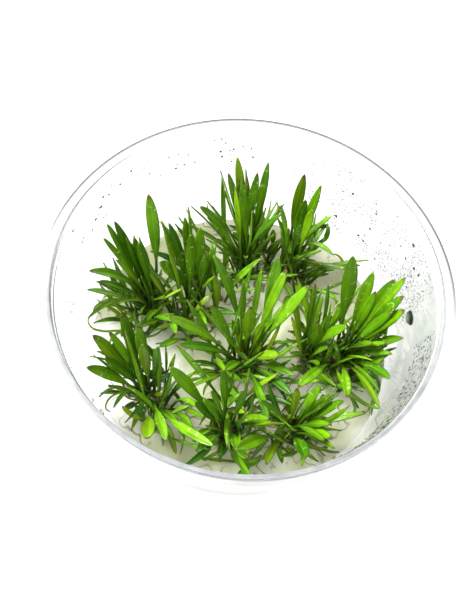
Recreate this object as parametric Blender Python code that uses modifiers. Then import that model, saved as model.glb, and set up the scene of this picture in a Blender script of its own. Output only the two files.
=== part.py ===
"""Cryptocoryne plantlets grown from tissue culture, standing in agar gel in their open clear cup.

The origin is the middle of the underside of the cup, +Z is up and +Y points to the back of the group.
Sizes in the tables are millimetres and degrees, and MM turns them into metres.
"""

import math
from typing import NamedTuple

import bmesh
import bpy
import numpy as np
from mathutils.bvhtree import BVHTree

MM = 0.001

# Cup
CUP_HEIGHT = 50.0
FLANGE_RADIUS = 50.0
FLANGE_THICKNESS = 1.0
FLANGE_BEVEL = 0.3
MOUTH_RADIUS = 46.8
STEP_RADIUS = 46.4
STEP_DEPTH = 3.2
STEP_BEVEL = 0.5
WALL = 0.9
FLOOR = 1.2
GEL_LINE_RADIUS = 41.6
CORNER_RADIUS = 2.4
TURN_STEPS = 48

# Gel
GEL_TOP = 12.8
MENISCUS_HEIGHT = 0.9
MENISCUS_WIDTH = 3.0
GAP = 0.3

# Crown, the short stem that the leaves grow from, as (share of the radius, height over the gel)
CROWN_RADIUS = 2.0
CROWN_DEPTH = 3.2
CROWN_HEIGHT = 3.4
CROWN_SIDES = 10
CROWN_RINGS = ((0.55, -CROWN_DEPTH), (1.0, -2.0), (1.1, 0.0), (1.0, 1.8), (0.65, CROWN_HEIGHT))
POCKET_RADIUS = 1.1 * CROWN_RADIUS + GAP

# Leaf
READING_HEIGHT = 1.5  # of the point in the crown that azimuth, lean and length are measured from
PETIOLE_WIDTH = 1.0
PETIOLE_SHARE = 0.38
PETIOLE_TAPER = 0.5
PETIOLE_THICKNESS = 0.8
BLADE_THICKNESS = 0.55
THINNING_SHARE = 0.5
BLADE_RISE = 1.2
BLADE_FALL = 0.62
FOLD = 0.10
LARGE_LEAF_STATIONS = (0.0, 0.34, 0.56, 0.72, 0.86, 0.95)
SMALL_LEAF_STATIONS = (0.0, 0.3, 0.62, 0.88)

# Where a leaf's foot can be, as (radius, height over the gel): large leaves stand round the crown
# and small leaves grow from inside it.
LARGE_LEAF_FEET = ((CROWN_RADIUS + 2 * GAP + PETIOLE_WIDTH / 2, 0.5),)
SMALL_LEAF_FEET = ((1.5, 0.6), (1.0, 1.7), (0.4, 2.7))


class Leaf(NamedTuple):
    """One leaf, read as on a dial: where its tip is seen from the crown, and how the leaf gets there."""

    azimuth: float  # degrees round the crown, from +X towards +Y
    lean: float  # degrees between the vertical and the line from the crown to the tip
    length: float  # from the crown to the tip
    width: float
    arch: float = 0.04  # how far the middle stands up off the straight line, as a share of the length
    sweep: float = 0.0  # the same, sideways
    twist: float = 0.0  # degrees that the blade is turned about its own line


class Plant(NamedTuple):
    """One plantlet: its crown's place on the gel, how many of its leaves are large, and its leaves."""

    place: tuple
    large: int
    leaves: list  # large ones first


class Standing(NamedTuple):
    """A leaf or crown that is in its place, as search trees, with the corners of its box."""

    tree: BVHTree
    blade: BVHTree  # the same without its foot, as small leaves of one crown may share their feet
    low: np.ndarray
    high: np.ndarray
    owner: str  # the plant that it is grown on, or nothing for a separate piece


PLANTS = {
    "back": Plant((-1.0, 24.0), 5, [
        Leaf(116, 28, 36, 2.6, 0.05),
        Leaf(85, 23, 36, 2.4),
        Leaf(96, 21, 33, 2.6),
        Leaf(182, 28, 32, 2.8, 0.08, 0.03),
        Leaf(327, 15, 26, 3.0, 0.08, 0.06),
        Leaf(133, 23, 34, 2.2),
        Leaf(200, 2, 30, 2.8, 0.03),
        Leaf(117, 21, 31, 1.7, 0.03),
        Leaf(109, 20, 31, 1.8, 0.03),
        Leaf(138, 26, 35, 1.6, 0.04, 0, 60),
        Leaf(167, 28, 30, 1.4, 0.03, 0, 60),
        Leaf(184, 31, 34, 1.4, 0.05, 0, 50),
        Leaf(23, 16, 27, 2.2, 0.14),
        Leaf(126, 22, 28, 1.8, 0.03),
        Leaf(192, 24, 24, 2.2, 0.06),
        Leaf(186, 35, 29, 1.8, 0.08),
    ]),
    "back_right": Plant((11.0, 26.0), 5, [
        Leaf(94, 18, 34, 3.0, 0.03, -0.02),
        Leaf(63, 16, 33, 2.6),
        Leaf(41, 8, 28, 3.0, 0.03),
        Leaf(216, 13, 25, 3.2),
        Leaf(318, 23, 24, 3.0, 0.10, 0.04),
        Leaf(82, 10, 29, 3.0, 0.03),
        Leaf(15, 15, 28, 2.2, 0.05, -0.04),
        Leaf(5, 17, 25, 1.8, 0.06, -0.18),
        Leaf(275, 5, 27, 1.8, 0.03),
        Leaf(308, 29, 20, 1.8, 0.10),
        Leaf(336, 44, 23, 1.6, 0.16, 0.05),
        Leaf(330, 30, 25, 1.6, 0.16, -0.12),
    ]),
    "left": Plant((-25.5, 6.0), 5, [
        Leaf(103, 28, 36, 3.4, 0.05, 0.03),
        Leaf(145, 24, 33, 2.6, 0.05),
        Leaf(152, 26, 33, 2.4, 0.05),
        Leaf(200, 32, 30, 3.2, 0.14, 0.04),
        Leaf(215, 36, 30, 2.4, 0.08),
        Leaf(165, 26, 31, 2.0, 0.06),
        Leaf(147, 18, 29, 2.2),
        Leaf(134, 17, 28, 2.2),
        Leaf(140, 10, 29, 2.4, 0.03),
        Leaf(211, 30, 28, 2.2, 0.08),
        Leaf(228, 9, 22, 2.2, 0.03),
        Leaf(181, 21, 26, 1.6, 0.05),
        Leaf(336, 25, 24, 1.6, 0.08, 0.08),
        Leaf(308, 24, 16, 3.0, 0.08),
        Leaf(229, 48, 28, 1.2, 0.12, 0.10),
    ]),
    "left_back": Plant((-13.5, 8.5), 4, [
        Leaf(97, 12, 32, 2.8, 0.03),
        Leaf(172, 30, 22, 4.2, 0.10, 0.04),
        Leaf(120, 12, 30, 2.8, 0.03),
        Leaf(119, 21, 32, 2.4),
        Leaf(144, 20, 33, 2.4),
        Leaf(74, 11, 24, 2.4),
        Leaf(62, 15, 28, 2.0),
        Leaf(113, 24, 35, 1.4, 0.04, 0, 40),
        Leaf(147, 24, 33, 1.6),
        Leaf(252, 14, 18, 2.2, 0.06),
        Leaf(243, 29, 20, 1.8, 0.08),
        Leaf(286, 43, 22, 2.2, 0.10),
    ]),
    "centre": Plant((2.5, -7.0), 6, [
        Leaf(129, 33, 36, 2.6, 0.05, 0.05),
        Leaf(77, 29, 36, 3.4, 0.05, 0.04),
        Leaf(42, 30, 34, 3.4, 0.06),
        Leaf(105, 8, 28, 3.4, 0.03),
        Leaf(158, 28, 26, 2.8, 0.08),
        Leaf(186, 38, 34, 3.0, 0.10),
        Leaf(66, 31, 34, 2.8, 0.05),
        Leaf(201, 41, 28, 2.8, 0.12),
        Leaf(334, 27, 20, 3.6, 0.12),
        Leaf(107, 22, 30, 1.7, 0.03),
        Leaf(195, 11, 20, 2.6),
        Leaf(289, 50, 30, 2.2, 0.12),
        Leaf(330, 45, 21, 2.4, 0.14),
        Leaf(314, 49, 24, 2.6, 0.14),
        Leaf(247, 31, 24, 2.4, 0.10),
    ]),
    "mid_right": Plant((19.0, -4.0), 2, [
        Leaf(98, 2, 24, 3.2, 0.04, 0.04),
        Leaf(15, 19, 24, 3.2, 0.12, -0.05),
        Leaf(103, 20, 30, 1.8),
        Leaf(85, 20, 30, 1.4, 0.04, 0.05, 40),
        Leaf(153, 20, 22, 1.5, 0.14, -0.10),
        Leaf(329, 14, 18, 2.4, 0.08),
        Leaf(285, 24, 18, 2.4, 0.10),
        Leaf(125, 33, 24, 1.8, 0.08),
    ]),
    "right": Plant((28.5, -0.5), 6, [
        Leaf(107, 22, 36, 4.4),
        Leaf(79, 19, 33, 3.0),
        Leaf(45, 24, 35, 2.6, 0.06),
        Leaf(16, 23, 30, 3.4, 0.05),
        Leaf(308, 39, 26, 3.0, 0.12),
        Leaf(237, 47, 32, 2.8, 0.10),
        Leaf(48, 26, 31, 3.2, 0.05),
        Leaf(334, 23, 24, 2.6, 0.08),
        Leaf(329, 30, 24, 2.0, 0.10),
        Leaf(208, 10, 24, 3.4, 0.08, 0.06),
        Leaf(270, 45, 27, 2.6, 0.10),
        Leaf(289, 46, 32, 2.0, 0.10),
        Leaf(296, 46, 24, 1.6, 0.10),
        Leaf(278, 50, 24, 1.4, 0.10, 0.10),
        Leaf(30, 22, 32, 3.4, 0.05),
        Leaf(8, 15, 30, 3.0, 0.05),
        Leaf(350, 22, 26, 3.0, 0.08),
        Leaf(62, 14, 30, 2.6),
        Leaf(320, 18, 22, 2.8, 0.10),
    ]),
    "front_left": Plant((-21.0, -21.0), 5, [
        Leaf(170, 24, 33, 3.6, 0.06),
        Leaf(129, 27, 30, 3.0),
        Leaf(194, 31, 28, 3.0, 0.10),
        Leaf(281, 44, 24, 3.6, 0.06),
        Leaf(319, 50, 33, 2.6, 0.10, 0.06),
        Leaf(115, 18, 29, 2.8),
        Leaf(115, 10, 26, 2.8, 0.03),
        Leaf(65, 10, 26, 2.2, 0.03),
        Leaf(185, 22, 27, 2.8, 0.06),
        Leaf(154, 22, 30, 2.2, 0.05),
        Leaf(142, 22, 24, 2.0),
        Leaf(296, 50, 22, 2.8, 0.14),
        Leaf(239, 34, 22, 1.1, 0.14, 0.12),
    ]),
    "front": Plant((1.0, -27.0), 4, [
        Leaf(164, 32, 32, 3.2, 0.06),
        Leaf(193, 21, 26, 3.0, 0.06),
        Leaf(329, 10, 24, 3.4),
        Leaf(119, 15, 28, 2.6),
        Leaf(350, 24, 22, 2.8, 0.08),
        Leaf(168, 13, 26, 2.0),
        Leaf(190, 16, 26, 2.6),
        Leaf(300, 34, 20, 2.6, 0.12),
        Leaf(286, 30, 18, 2.4, 0.10),
        Leaf(238, 38, 22, 1.8, 0.12),
        Leaf(60, 14, 22, 2.0, 0.05),
        Leaf(300, 45, 16, 3.2, 0.16),
    ]),
    "front_right": Plant((17.0, -24.0), 4, [
        Leaf(225, 41, 30, 3.2, 0.08),
        Leaf(4, 20, 28, 2.8, 0.06),
        Leaf(282, 33, 24, 3.4, 0.12),
        Leaf(42, 10, 28, 2.4, 0.05),
        Leaf(319, 27, 24, 2.6, 0.10),
        Leaf(125, 7, 25, 2.6),
        Leaf(335, 23, 22, 2.6, 0.08),
        Leaf(314, 32, 25, 1.8, 0.10),
        Leaf(308, 26, 24, 2.2, 0.10),
        Leaf(190, 23, 26, 1.8, 0.06),
        Leaf(20, 16, 26, 2.2, 0.05),
    ]),
}

# Where a leaf crosses one that is already there, its foot slides round the crown,
# and then its tip moves a little, in this order, until it is clear.
FOOT_TURNS = (0, 20, -20, 40, -40, 65, -65, 95, -95, 130, -130, 180)
TIP_SHIFTS = ((0, 0), (3, 0), (-3, 0), (0, 3), (0, -3), (6, 2), (-6, 2), (6, -3), (-6, -3),
              (0, 7), (0, -7), (10, 0), (-10, 0), (10, 6), (-10, 6), (15, 3), (-15, 3), (20, 8), (-20, 8))


def clear_scene():
    for obj in list(bpy.data.objects):
        bpy.data.objects.remove(obj)


def collection(name, parent, hidden=False):
    made = bpy.data.collections.new(name)
    parent.children.link(made)
    made.hide_render = hidden
    return made


def material(name, colour, roughness, transmission=0.0):
    made = bpy.data.materials.new(name)
    made.use_nodes = True
    shader = made.node_tree.nodes["Principled BSDF"]
    shader.inputs["Base Color"].default_value = (*colour, 1.0)
    shader.inputs["Roughness"].default_value = roughness
    shader.inputs["Transmission Weight"].default_value = transmission
    return made


def new_object(name, mesh, home, finish):
    obj = bpy.data.objects.new(name, mesh)
    home.objects.link(obj)
    mesh.materials.append(finish)
    return obj


def new_helper(name, mesh, home, finish):
    """An object that only a modifier uses."""
    helper = new_object(name, mesh, home, finish)
    helper.hide_render = True
    helper.display_type = "WIRE"
    return helper


def turned(name, profile, home, finish):
    """A solid turned about Z from a profile of (radius, height) that ends on the axis at both ends."""
    mesh = bpy.data.meshes.new(name)
    points = [(radius * MM, 0.0, height * MM) for radius, height in profile]
    mesh.from_pydata(points, [(i, i + 1) for i in range(len(points) - 1)], [])
    obj = new_object(name, mesh, home, finish)
    screw = obj.modifiers.new("Turn", "SCREW")
    screw.steps = TURN_STEPS
    screw.render_steps = TURN_STEPS
    screw.use_merge_vertices = True
    screw.merge_threshold = 0.01 * MM
    return obj


def wall_radius(height):
    """The cup's inner radius, which grows evenly from the gel line to the step under the mouth."""
    rise = (height - GEL_TOP) / (CUP_HEIGHT - STEP_DEPTH - GEL_TOP)
    return GEL_LINE_RADIUS + rise * (STEP_RADIUS - GEL_LINE_RADIUS)


def bottom_corner(radius, centre_height, start, end):
    """Points on the arc between the wall and the floor, from one angle to another in degrees."""
    centre_radius = wall_radius(FLOOR + CORNER_RADIUS) - CORNER_RADIUS
    angles = np.radians(np.linspace(start, end, 4))
    return [(centre_radius + radius * math.cos(a), centre_height + radius * math.sin(a)) for a in angles]


def build_cup(home):
    """Floor, tapered wall, stepped mouth and flange, up the inside and down the outside."""
    step = CUP_HEIGHT - STEP_DEPTH
    under = CUP_HEIGHT - FLANGE_THICKNESS
    profile = [(0.0, FLOOR)]
    profile += bottom_corner(CORNER_RADIUS, FLOOR + CORNER_RADIUS, -90, -5)
    profile += [(STEP_RADIUS, step), (MOUTH_RADIUS, step + STEP_BEVEL)]
    profile += [(MOUTH_RADIUS, CUP_HEIGHT - FLANGE_BEVEL), (MOUTH_RADIUS + FLANGE_BEVEL, CUP_HEIGHT)]
    profile += [(FLANGE_RADIUS - FLANGE_BEVEL, CUP_HEIGHT), (FLANGE_RADIUS, CUP_HEIGHT - FLANGE_BEVEL)]
    profile += [(FLANGE_RADIUS, under), (MOUTH_RADIUS + WALL, under)]
    profile += [(MOUTH_RADIUS + WALL, step), (STEP_RADIUS + WALL, step - STEP_BEVEL)]
    profile += bottom_corner(CORNER_RADIUS + WALL, CORNER_RADIUS + WALL, -5, -90)
    profile += [(0.0, 0.0)]
    plastic = material("clear_plastic", (0.93, 0.95, 0.95), 0.06, transmission=1.0)
    return turned("cup", profile, home, plastic)


def build_gel(home, cutters):
    """The poured disc with its meniscus at the wall, and a pocket for each crown."""
    lip = GEL_TOP + MENISCUS_HEIGHT
    lip_radius = wall_radius(lip) - GAP
    profile = [(0.0, GEL_TOP), (lip_radius - MENISCUS_WIDTH, GEL_TOP)]
    profile += [(lip_radius - 0.35 * MENISCUS_WIDTH, GEL_TOP + 0.2 * MENISCUS_HEIGHT), (lip_radius, lip)]
    profile += bottom_corner(CORNER_RADIUS - GAP, FLOOR + CORNER_RADIUS, -5, -90)
    profile += [(0.0, FLOOR + GAP)]
    agar = material("agar", (0.82, 0.82, 0.70), 0.25, transmission=0.5)
    gel = turned("agar_gel", profile, home, agar)
    for name, plant in PLANTS.items():
        pocket = prism(plant.place, POCKET_RADIUS, GEL_TOP - CROWN_DEPTH - GAP, GEL_TOP + CROWN_HEIGHT)
        cut = gel.modifiers.new(f"Pocket {name}", "BOOLEAN")
        cut.operation = "DIFFERENCE"
        cut.solver = "EXACT"
        cut.object = new_helper(f"pocket_{name}", pocket, cutters, agar)
    return gel


def prism(place, radius, bottom, top):
    """An upright closed prism with as many sides as the crown."""
    mesh = bpy.data.meshes.new("pocket")
    cage = bmesh.new()
    bmesh.ops.create_cone(cage, cap_ends=True, segments=CROWN_SIDES, radius1=radius * MM,
                          radius2=radius * MM, depth=(top - bottom) * MM)
    middle = (place[0] * MM, place[1] * MM, (bottom + top) / 2 * MM)
    bmesh.ops.translate(cage, verts=cage.verts, vec=middle)
    cage.to_mesh(mesh)
    cage.free()
    return mesh


def unit(vectors):
    return vectors / np.linalg.norm(vectors, axis=-1, keepdims=True)


def ring_faces(rings, sides):
    """The faces of a closed tube of rings of points that follow one another."""
    faces = []
    for ring in range(rings - 1):
        for side in range(sides):
            a = ring * sides + side
            b = ring * sides + (side + 1) % sides
            faces.append((a, b, b + sides, a + sides))
    return faces


def leaf_axes(azimuth, lean, twist):
    """Directions: along the line to the tip, across the blade, and out of its upper face."""
    a, l, w = np.radians((azimuth, lean, twist))
    away = np.array((math.cos(a), math.sin(a), 0.0))
    up = np.array((0.0, 0.0, 1.0))
    line = math.sin(l) * away + math.cos(l) * up
    face = math.sin(l) * up - math.cos(l) * away
    across = np.cross(line, face)
    return line, across * math.cos(w) - face * math.sin(w), face * math.cos(w) + across * math.sin(w)


def blade_width(along, width):
    """A thin petiole, then a lance-shaped blade that is widest past its middle."""
    blade = np.clip((along - PETIOLE_SHARE) / (1 - PETIOLE_SHARE), 0, 1)
    peak = BLADE_RISE / (BLADE_RISE + BLADE_FALL)
    most = peak**BLADE_RISE * (1 - peak) ** BLADE_FALL
    shape = width * blade**BLADE_RISE * (1 - blade) ** BLADE_FALL / most
    return np.maximum(shape, PETIOLE_WIDTH * (1 - PETIOLE_TAPER * along))


def leaf_loft(place, leaf, foot, stations, extra):
    """Points and faces of one leaf: four-sided sections along a curve from foot to tip, grown by extra.

    The curve is a quadratic Bezier curve. Arch and sweep are how far its middle stands off a straight line.
    Each section has the blade's two edges and its upper and lower middle, folded a little at the midrib.
    """
    line, across, _ = leaf_axes(leaf.azimuth, leaf.lean, leaf.twist)
    _, aside, above = leaf_axes(leaf.azimuth, leaf.lean, 0.0)
    crown = np.array((place[0], place[1], GEL_TOP))
    turn, radius, height = foot
    angle = math.radians(leaf.azimuth + turn)
    start = crown + (radius * math.cos(angle), radius * math.sin(angle), height)
    tip = crown + (0, 0, READING_HEIGHT) + leaf.length * line
    middle = (start + tip) / 2 + 2 * leaf.length * (leaf.arch * above + leaf.sweep * aside)
    u = np.array(stations)[:, None]
    centre = (1 - u) ** 2 * start + 2 * u * (1 - u) * middle + u**2 * tip
    heading = unit((1 - u) * (middle - start) + u * (tip - middle))
    across = unit(across - (heading @ across)[:, None] * heading)
    face = np.cross(across, heading)
    thinning = np.minimum(u / THINNING_SHARE, 1)
    half = (blade_width(u, leaf.width) + extra) / 2
    thick = (PETIOLE_THICKNESS + (BLADE_THICKNESS - PETIOLE_THICKNESS) * thinning + extra) / 2
    fold = FOLD * (half - PETIOLE_WIDTH / 2)
    rings = np.stack((centre - across * half, centre + face * (thick - fold),
                      centre + across * half, centre - face * (thick + fold)), axis=1)
    points = np.vstack((rings.reshape(-1, 3), tip + heading[-1] * extra / 2))
    end = 4 * (len(stations) - 1)
    faces = ring_faces(len(stations), 4)
    faces += [(end + side, end + (side + 1) % 4, end + 4) for side in range(4)]
    faces.append((3, 2, 1, 0))
    return points, outward(points, faces)


def outward(points, faces):
    """The faces, turned round if they make a solid that points inwards."""
    volume = 0.0
    for face in faces:
        for i in range(1, len(face) - 1):
            volume += np.dot(points[face[0]], np.cross(points[face[i]], points[face[i + 1]]))
    return faces if volume > 0 else [face[::-1] for face in faces]


def crown_loft(place, extra=0.0):
    """A short stem, from inside its pocket to a rounded shoulder above the gel."""
    angles = np.linspace(0, 2 * math.pi, CROWN_SIDES, endpoint=False)
    points = []
    for share, height in CROWN_RINGS:
        radius = share * CROWN_RADIUS + extra
        for a in angles:
            aside, back = radius * math.cos(a), radius * math.sin(a)
            points.append((place[0] + aside, place[1] + back, GEL_TOP + height))
    faces = ring_faces(len(CROWN_RINGS), CROWN_SIDES)
    faces.append(tuple(range(CROWN_SIDES))[::-1])
    faces.append(tuple(range(len(points) - CROWN_SIDES, len(points))))
    return np.array(points), faces


def standing(points, faces, owner):
    """Faces that touch the first ring of four points are the foot's."""
    blade = [face for face in faces if min(face) > 3]
    corners = points.tolist()
    return Standing(BVHTree.FromPolygons(corners, faces), BVHTree.FromPolygons(corners, blade),
                    points.min(axis=0), points.max(axis=0), owner)


def touches(leaf, other):
    if (leaf.low > other.high).any() or (leaf.high < other.low).any():
        return False
    if leaf.owner and leaf.owner == other.owner:
        return bool(leaf.blade.overlap(other.blade))
    return bool(leaf.tree.overlap(other.tree))


def inside_cup(points):
    """Whether the leaf is clear of the gel, the wall and the plane of the mouth."""
    reach = np.hypot(points[:, 0], points[:, 1])
    heights = points[:, 2]
    clear_of_wall = (reach < wall_radius(heights) - 2 * GAP).all()
    under_mouth = heights.max() < CUP_HEIGHT - FLANGE_THICKNESS
    return clear_of_wall and under_mouth and heights.min() > GEL_TOP - GAP / 3


def settle(place, leaf, owner, taken):
    """The leaf's points and faces in its first free way to stand, of those in FOOT_TURNS and TIP_SHIFTS.

    A small leaf has an owner, the plant that it is grown on, and a large leaf has none.
    """
    stations = SMALL_LEAF_STATIONS if owner else LARGE_LEAF_STATIONS
    for turn, tilt in TIP_SHIFTS:
        moved = leaf._replace(azimuth=leaf.azimuth + turn, lean=max(leaf.lean + tilt, 0))
        for foot_turn in FOOT_TURNS:
            for foot in SMALL_LEAF_FEET if owner else LARGE_LEAF_FEET:
                points, faces = leaf_loft(place, moved, (foot_turn, *foot), stations, GAP)
                candidate = standing(points, faces, owner)
                if inside_cup(points) and not any(touches(candidate, other) for other in taken):
                    taken.append(candidate)
                    return leaf_loft(place, moved, (foot_turn, *foot), stations, 0.0)
    raise ValueError(f"no room for {leaf}")


def mesh_of(name, points, faces):
    """A mesh of flat faces that is shaded smooth but for its sharp edges."""
    mesh = bpy.data.meshes.new(name)
    mesh.from_pydata((points * MM).tolist(), [], faces)
    mesh.shade_smooth()
    mesh.set_sharp_from_angle(angle=math.radians(50))
    return mesh


def build_large_leaves(home, name, plant, taken):
    """The plant's large leaves, each an object of its own, with their feet round the crown."""
    green = material(f"leaf_green_{name}", (0.13, 0.33, 0.03), 0.35)
    for number, leaf in enumerate(plant.leaves[: plant.large], start=1):
        leaf_name = f"leaf_{name}_{number}"
        points, faces = settle(plant.place, leaf, "", taken)
        new_object(leaf_name, mesh_of(leaf_name, points, faces), home, green)


def build_plant(home, cutters, name, plant, taken):
    """The crown with the plant's small leaves joined on."""
    grown = collection(f"grown_{name}", cutters, hidden=True)
    green = material(f"crown_green_{name}", (0.16, 0.28, 0.05), 0.45)
    for number, leaf in enumerate(plant.leaves[plant.large :], start=plant.large + 1):
        leaf_name = f"small_leaf_{name}_{number}"
        points, faces = settle(plant.place, leaf, name, taken)
        new_helper(leaf_name, mesh_of(leaf_name, points, faces), grown, green)
    crown = new_object(f"plant_{name}", mesh_of(f"plant_{name}", *crown_loft(plant.place)), home, green)
    join = crown.modifiers.new("Grown leaves", "BOOLEAN")
    join.operation = "UNION"
    join.solver = "EXACT"
    join.operand_type = "COLLECTION"
    join.collection = grown


def main():
    clear_scene()
    root = bpy.context.scene.collection
    home = collection("tissue_culture_cryptocoryne", root)
    cutters = collection("cutters", root, hidden=True)
    build_cup(home)
    build_gel(home, cutters)
    taken = [standing(*crown_loft(plant.place, GAP / 2), name) for name, plant in PLANTS.items()]
    for name, plant in PLANTS.items():
        build_large_leaves(home, name, plant, taken)
    for name, plant in PLANTS.items():
        build_plant(home, cutters, name, plant, taken)


main()
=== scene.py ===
"""The looks of the tissue-culture Cryptocoryne plantlets in their clear cup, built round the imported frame.

Sizes are millimetres and degrees, measured from the middle of the cup's underside, and MM turns them into
metres. The table of plants is the one that the frame was built from, and each of its leaves' final stand is
found again in the frame's own nodes. The tables of bent and further leaves belong to this script alone.
"""

import math
from functools import cached_property
from typing import NamedTuple

import bpy
import numpy as np
from mathutils import Matrix
from mathutils.bvhtree import BVHTree


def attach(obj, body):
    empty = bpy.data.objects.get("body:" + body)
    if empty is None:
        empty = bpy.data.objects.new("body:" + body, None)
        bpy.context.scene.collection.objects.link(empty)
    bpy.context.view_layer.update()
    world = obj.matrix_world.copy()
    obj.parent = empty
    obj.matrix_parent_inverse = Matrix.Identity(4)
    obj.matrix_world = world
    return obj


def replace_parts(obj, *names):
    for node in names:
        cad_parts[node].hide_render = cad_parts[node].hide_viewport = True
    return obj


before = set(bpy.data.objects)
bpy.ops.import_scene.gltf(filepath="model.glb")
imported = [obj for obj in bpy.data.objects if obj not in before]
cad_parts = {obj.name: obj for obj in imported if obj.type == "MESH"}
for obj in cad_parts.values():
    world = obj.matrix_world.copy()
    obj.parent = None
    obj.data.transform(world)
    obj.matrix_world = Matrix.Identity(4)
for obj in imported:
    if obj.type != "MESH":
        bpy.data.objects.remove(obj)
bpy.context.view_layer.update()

bl_info = {
    "name": "Tissue-culture plant cup",
    "version": (1, 0, 0),
    "blender": (4, 5, 0),
    "location": "View3D > Sidebar > Plant Cup",
    "description": "Builds a clear cup of agar gel with Cryptocoryne plantlets round a packed frame",
    "category": "Object",
}

MM = 0.001
BODY = "root"
FULL_TURN = 2 * math.pi


class Leaf(NamedTuple):
    """One leaf: degrees round the crown and from the vertical, length and width, and how it bends."""

    azimuth: float
    lean: float
    length: float
    width: float
    arch: float = 0.04
    sweep: float = 0.0
    twist: float = 0.0


class Plant(NamedTuple):
    """A crown's place on the gel, how many of its leaves are large, and its leaves, large ones first."""

    place: tuple
    large: int
    leaves: list


class Bent(NamedTuple):
    """A thin leaf that bends as it grows: its width, its yellowness, and points that it is seen to pass.

    Each point is a pixel of the photograph and a height over the gel. A first point under the gel is its
    root, and otherwise it grows from its plant's crown.
    """

    width: float
    yellow: float
    points: tuple


class Seen(NamedTuple):
    """A leaf known by its tip: the tip's pixel in the photograph, its height over the gel, and its form."""

    x: float
    y: float
    height: float
    width: float
    arch: float = 0.05
    sweep: float = 0.0


class Stand(NamedTuple):
    """Where a leaf really stands: its foot, the middle of its curve and its tip, and across its blade."""

    foot: np.ndarray
    middle: np.ndarray
    tip: np.ndarray
    across: np.ndarray


class Look(NamedTuple):
    """What makes one leaf differ from the next."""

    width: float
    tone: float
    yellow: float
    wave: float
    waves: float
    phase: float
    cup: float
    rise: float
    fall: float
    turn: float
    hook: float


class Ring(NamedTuple):
    """A low moulded ring from one radius to another: its height, and the width and softness of its sides."""

    start: float
    end: float
    height: float
    side: float
    softness: float


class Drops(NamedTuple):
    """A group of drops: where they lie round the wall and up it, how many, how large, and whether painted
    darker.
    """

    azimuths: tuple
    heights: tuple
    number: int
    sizes: tuple
    dark: bool = True


class Surface(NamedTuple):
    """Points in millimetres, faces as arrays of point numbers, and a value for each point in each layer."""

    points: np.ndarray
    quads: np.ndarray
    tris: np.ndarray
    layers: dict


# The cup, gel and crowns, as the frame has them
CUP_HEIGHT = 50.0
FLANGE_RADIUS = 50.0
FLANGE_THICKNESS = 1.0
MOUTH_RADIUS = 46.8
STEP_RADIUS = 46.4
STEP_DEPTH = 3.2
STEP_HEIGHT = CUP_HEIGHT - STEP_DEPTH
WALL = 0.9
FLOOR = 1.2
GEL_LINE_RADIUS = 41.6
CORNER_RADIUS = 2.4
GEL_TOP = 12.8
MENISCUS_HEIGHT = 0.9
MENISCUS_WIDTH = 3.0
CROWN_RADIUS = 2.0
CROWN_DEPTH = 3.2
CROWN_HEIGHT = 3.4

# The finer forms of the cup and the gel
CUP_SEGMENTS = 192
GEL_SEGMENTS = 160
EDGE_WIDTH = 0.55
FLOOR_RING = Ring(28.0, 29.6, 0.12, 0.4, 0.15)
FOOT_GROOVE = Ring(34.0, 32.0, 0.18, 0.4, 0.15)
GATE_MARK = Ring(3.4, 2.2, 0.2, 0.2, 0.1)
CORNER_POINTS = 7
GEL_GAP = 0.08
CROWN_SWELL = 0.45
SWELL_WIDTH = 3.0
CROWN_ROWS = 12
CROWN_SEGMENTS = 24
CROWN_PROFILE = ((-CROWN_DEPTH, 0.5), (-2.0, 0.95), (0.0, 1.06), (1.6, 0.98), (2.8, 0.72),
                 (CROWN_HEIGHT, 0.3))

# How the frame's leaves are laid out
READING_HEIGHT = 1.5
PETIOLE_WIDTH = 1.0
PETIOLE_SHARE = 0.38
PETIOLE_TAPER = 0.5
BLADE_RISE = 1.2
BLADE_FALL = 0.62
LARGE_LEAF_STATIONS = (0.34, 0.56, 0.72, 0.86, 0.95)
SMALL_LEAF_STATIONS = (0.3, 0.62, 0.88)
LARGE_LEAF_FEET = ((3.1, 0.5),)
SMALL_LEAF_FEET = ((1.5, 0.6), (1.0, 1.7), (0.4, 2.7))
FOOT_TURNS = (0, 20, -20, 40, -40, 65, -65, 95, -95, 130, -130, 180)
TIP_SHIFTS = ((0, 0), (3, 0), (-3, 0), (0, 3), (0, -3), (6, 2), (-6, 2), (6, -3), (-6, -3),
              (0, 7), (0, -7), (10, 0), (-10, 0), (10, 6), (-10, 6), (15, 3), (-15, 3), (20, 8), (-20, 8))
TIP_MATCH = 0.05
EDGE_MATCH = 0.1

# How a blade is shaped
RING_ACROSS = np.array((-1, -0.82, -0.48, -0.18, 0, 0.18, 0.48, 0.82,
                        1, 0.82, 0.48, 0.18, 0, -0.18, -0.48, -0.82))
RING_SIDE = np.array((0, 1, 1, 1, 1, 1, 1, 1, 0, -1, -1, -1, -1, -1, -1, -1))
BLADE_ROWS = 26
BENT_ROWS = 44
SHEATH_ROWS = 5
SHEATH_SHARE = 0.12
RIB_DEPTH = 0.18
RIB_WIDTH = 0.2
GROOVE_DEPTH = 0.08
GROOVE_WIDTH = 0.16
FOLD_DEPTH = 0.16

# How the scene's own leaves are laid out, with feet on the crown or in the gel beside it
FRAME_FREEDOM = 0.3
BENT_FREEDOM = 0.4
BENT_FORM = {"rise": 0.35, "fall": 0.45, "hook": 0.0}
BENT_START = 0.8
SEEN_SHARE = 0.85
YOUNG_LEAF_FEET = ((1.6, 0.8), (2.8, -0.4), (1.0, 2.2), (3.8, -0.5), (2.2, 0.4))
SHOOT_FEET = ((0.7, -0.5), (1.2, -0.5), (0.4, 0.6), (1.8, -0.5))
HEIGHT_SLIDES = (0, 1.5, -1.5, 3, -3, 5, -5, 7, -7)
BENT_SLIDES = HEIGHT_SLIDES[:7]
LOWEST_TIP = 0.8
STEEPEST_LEAN = 74
LOW_LEAF = 4
SHARED_BASE = 0.3
WALL_CLEARANCE = 0.4
GEL_CLEARANCE = 0.1

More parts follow.
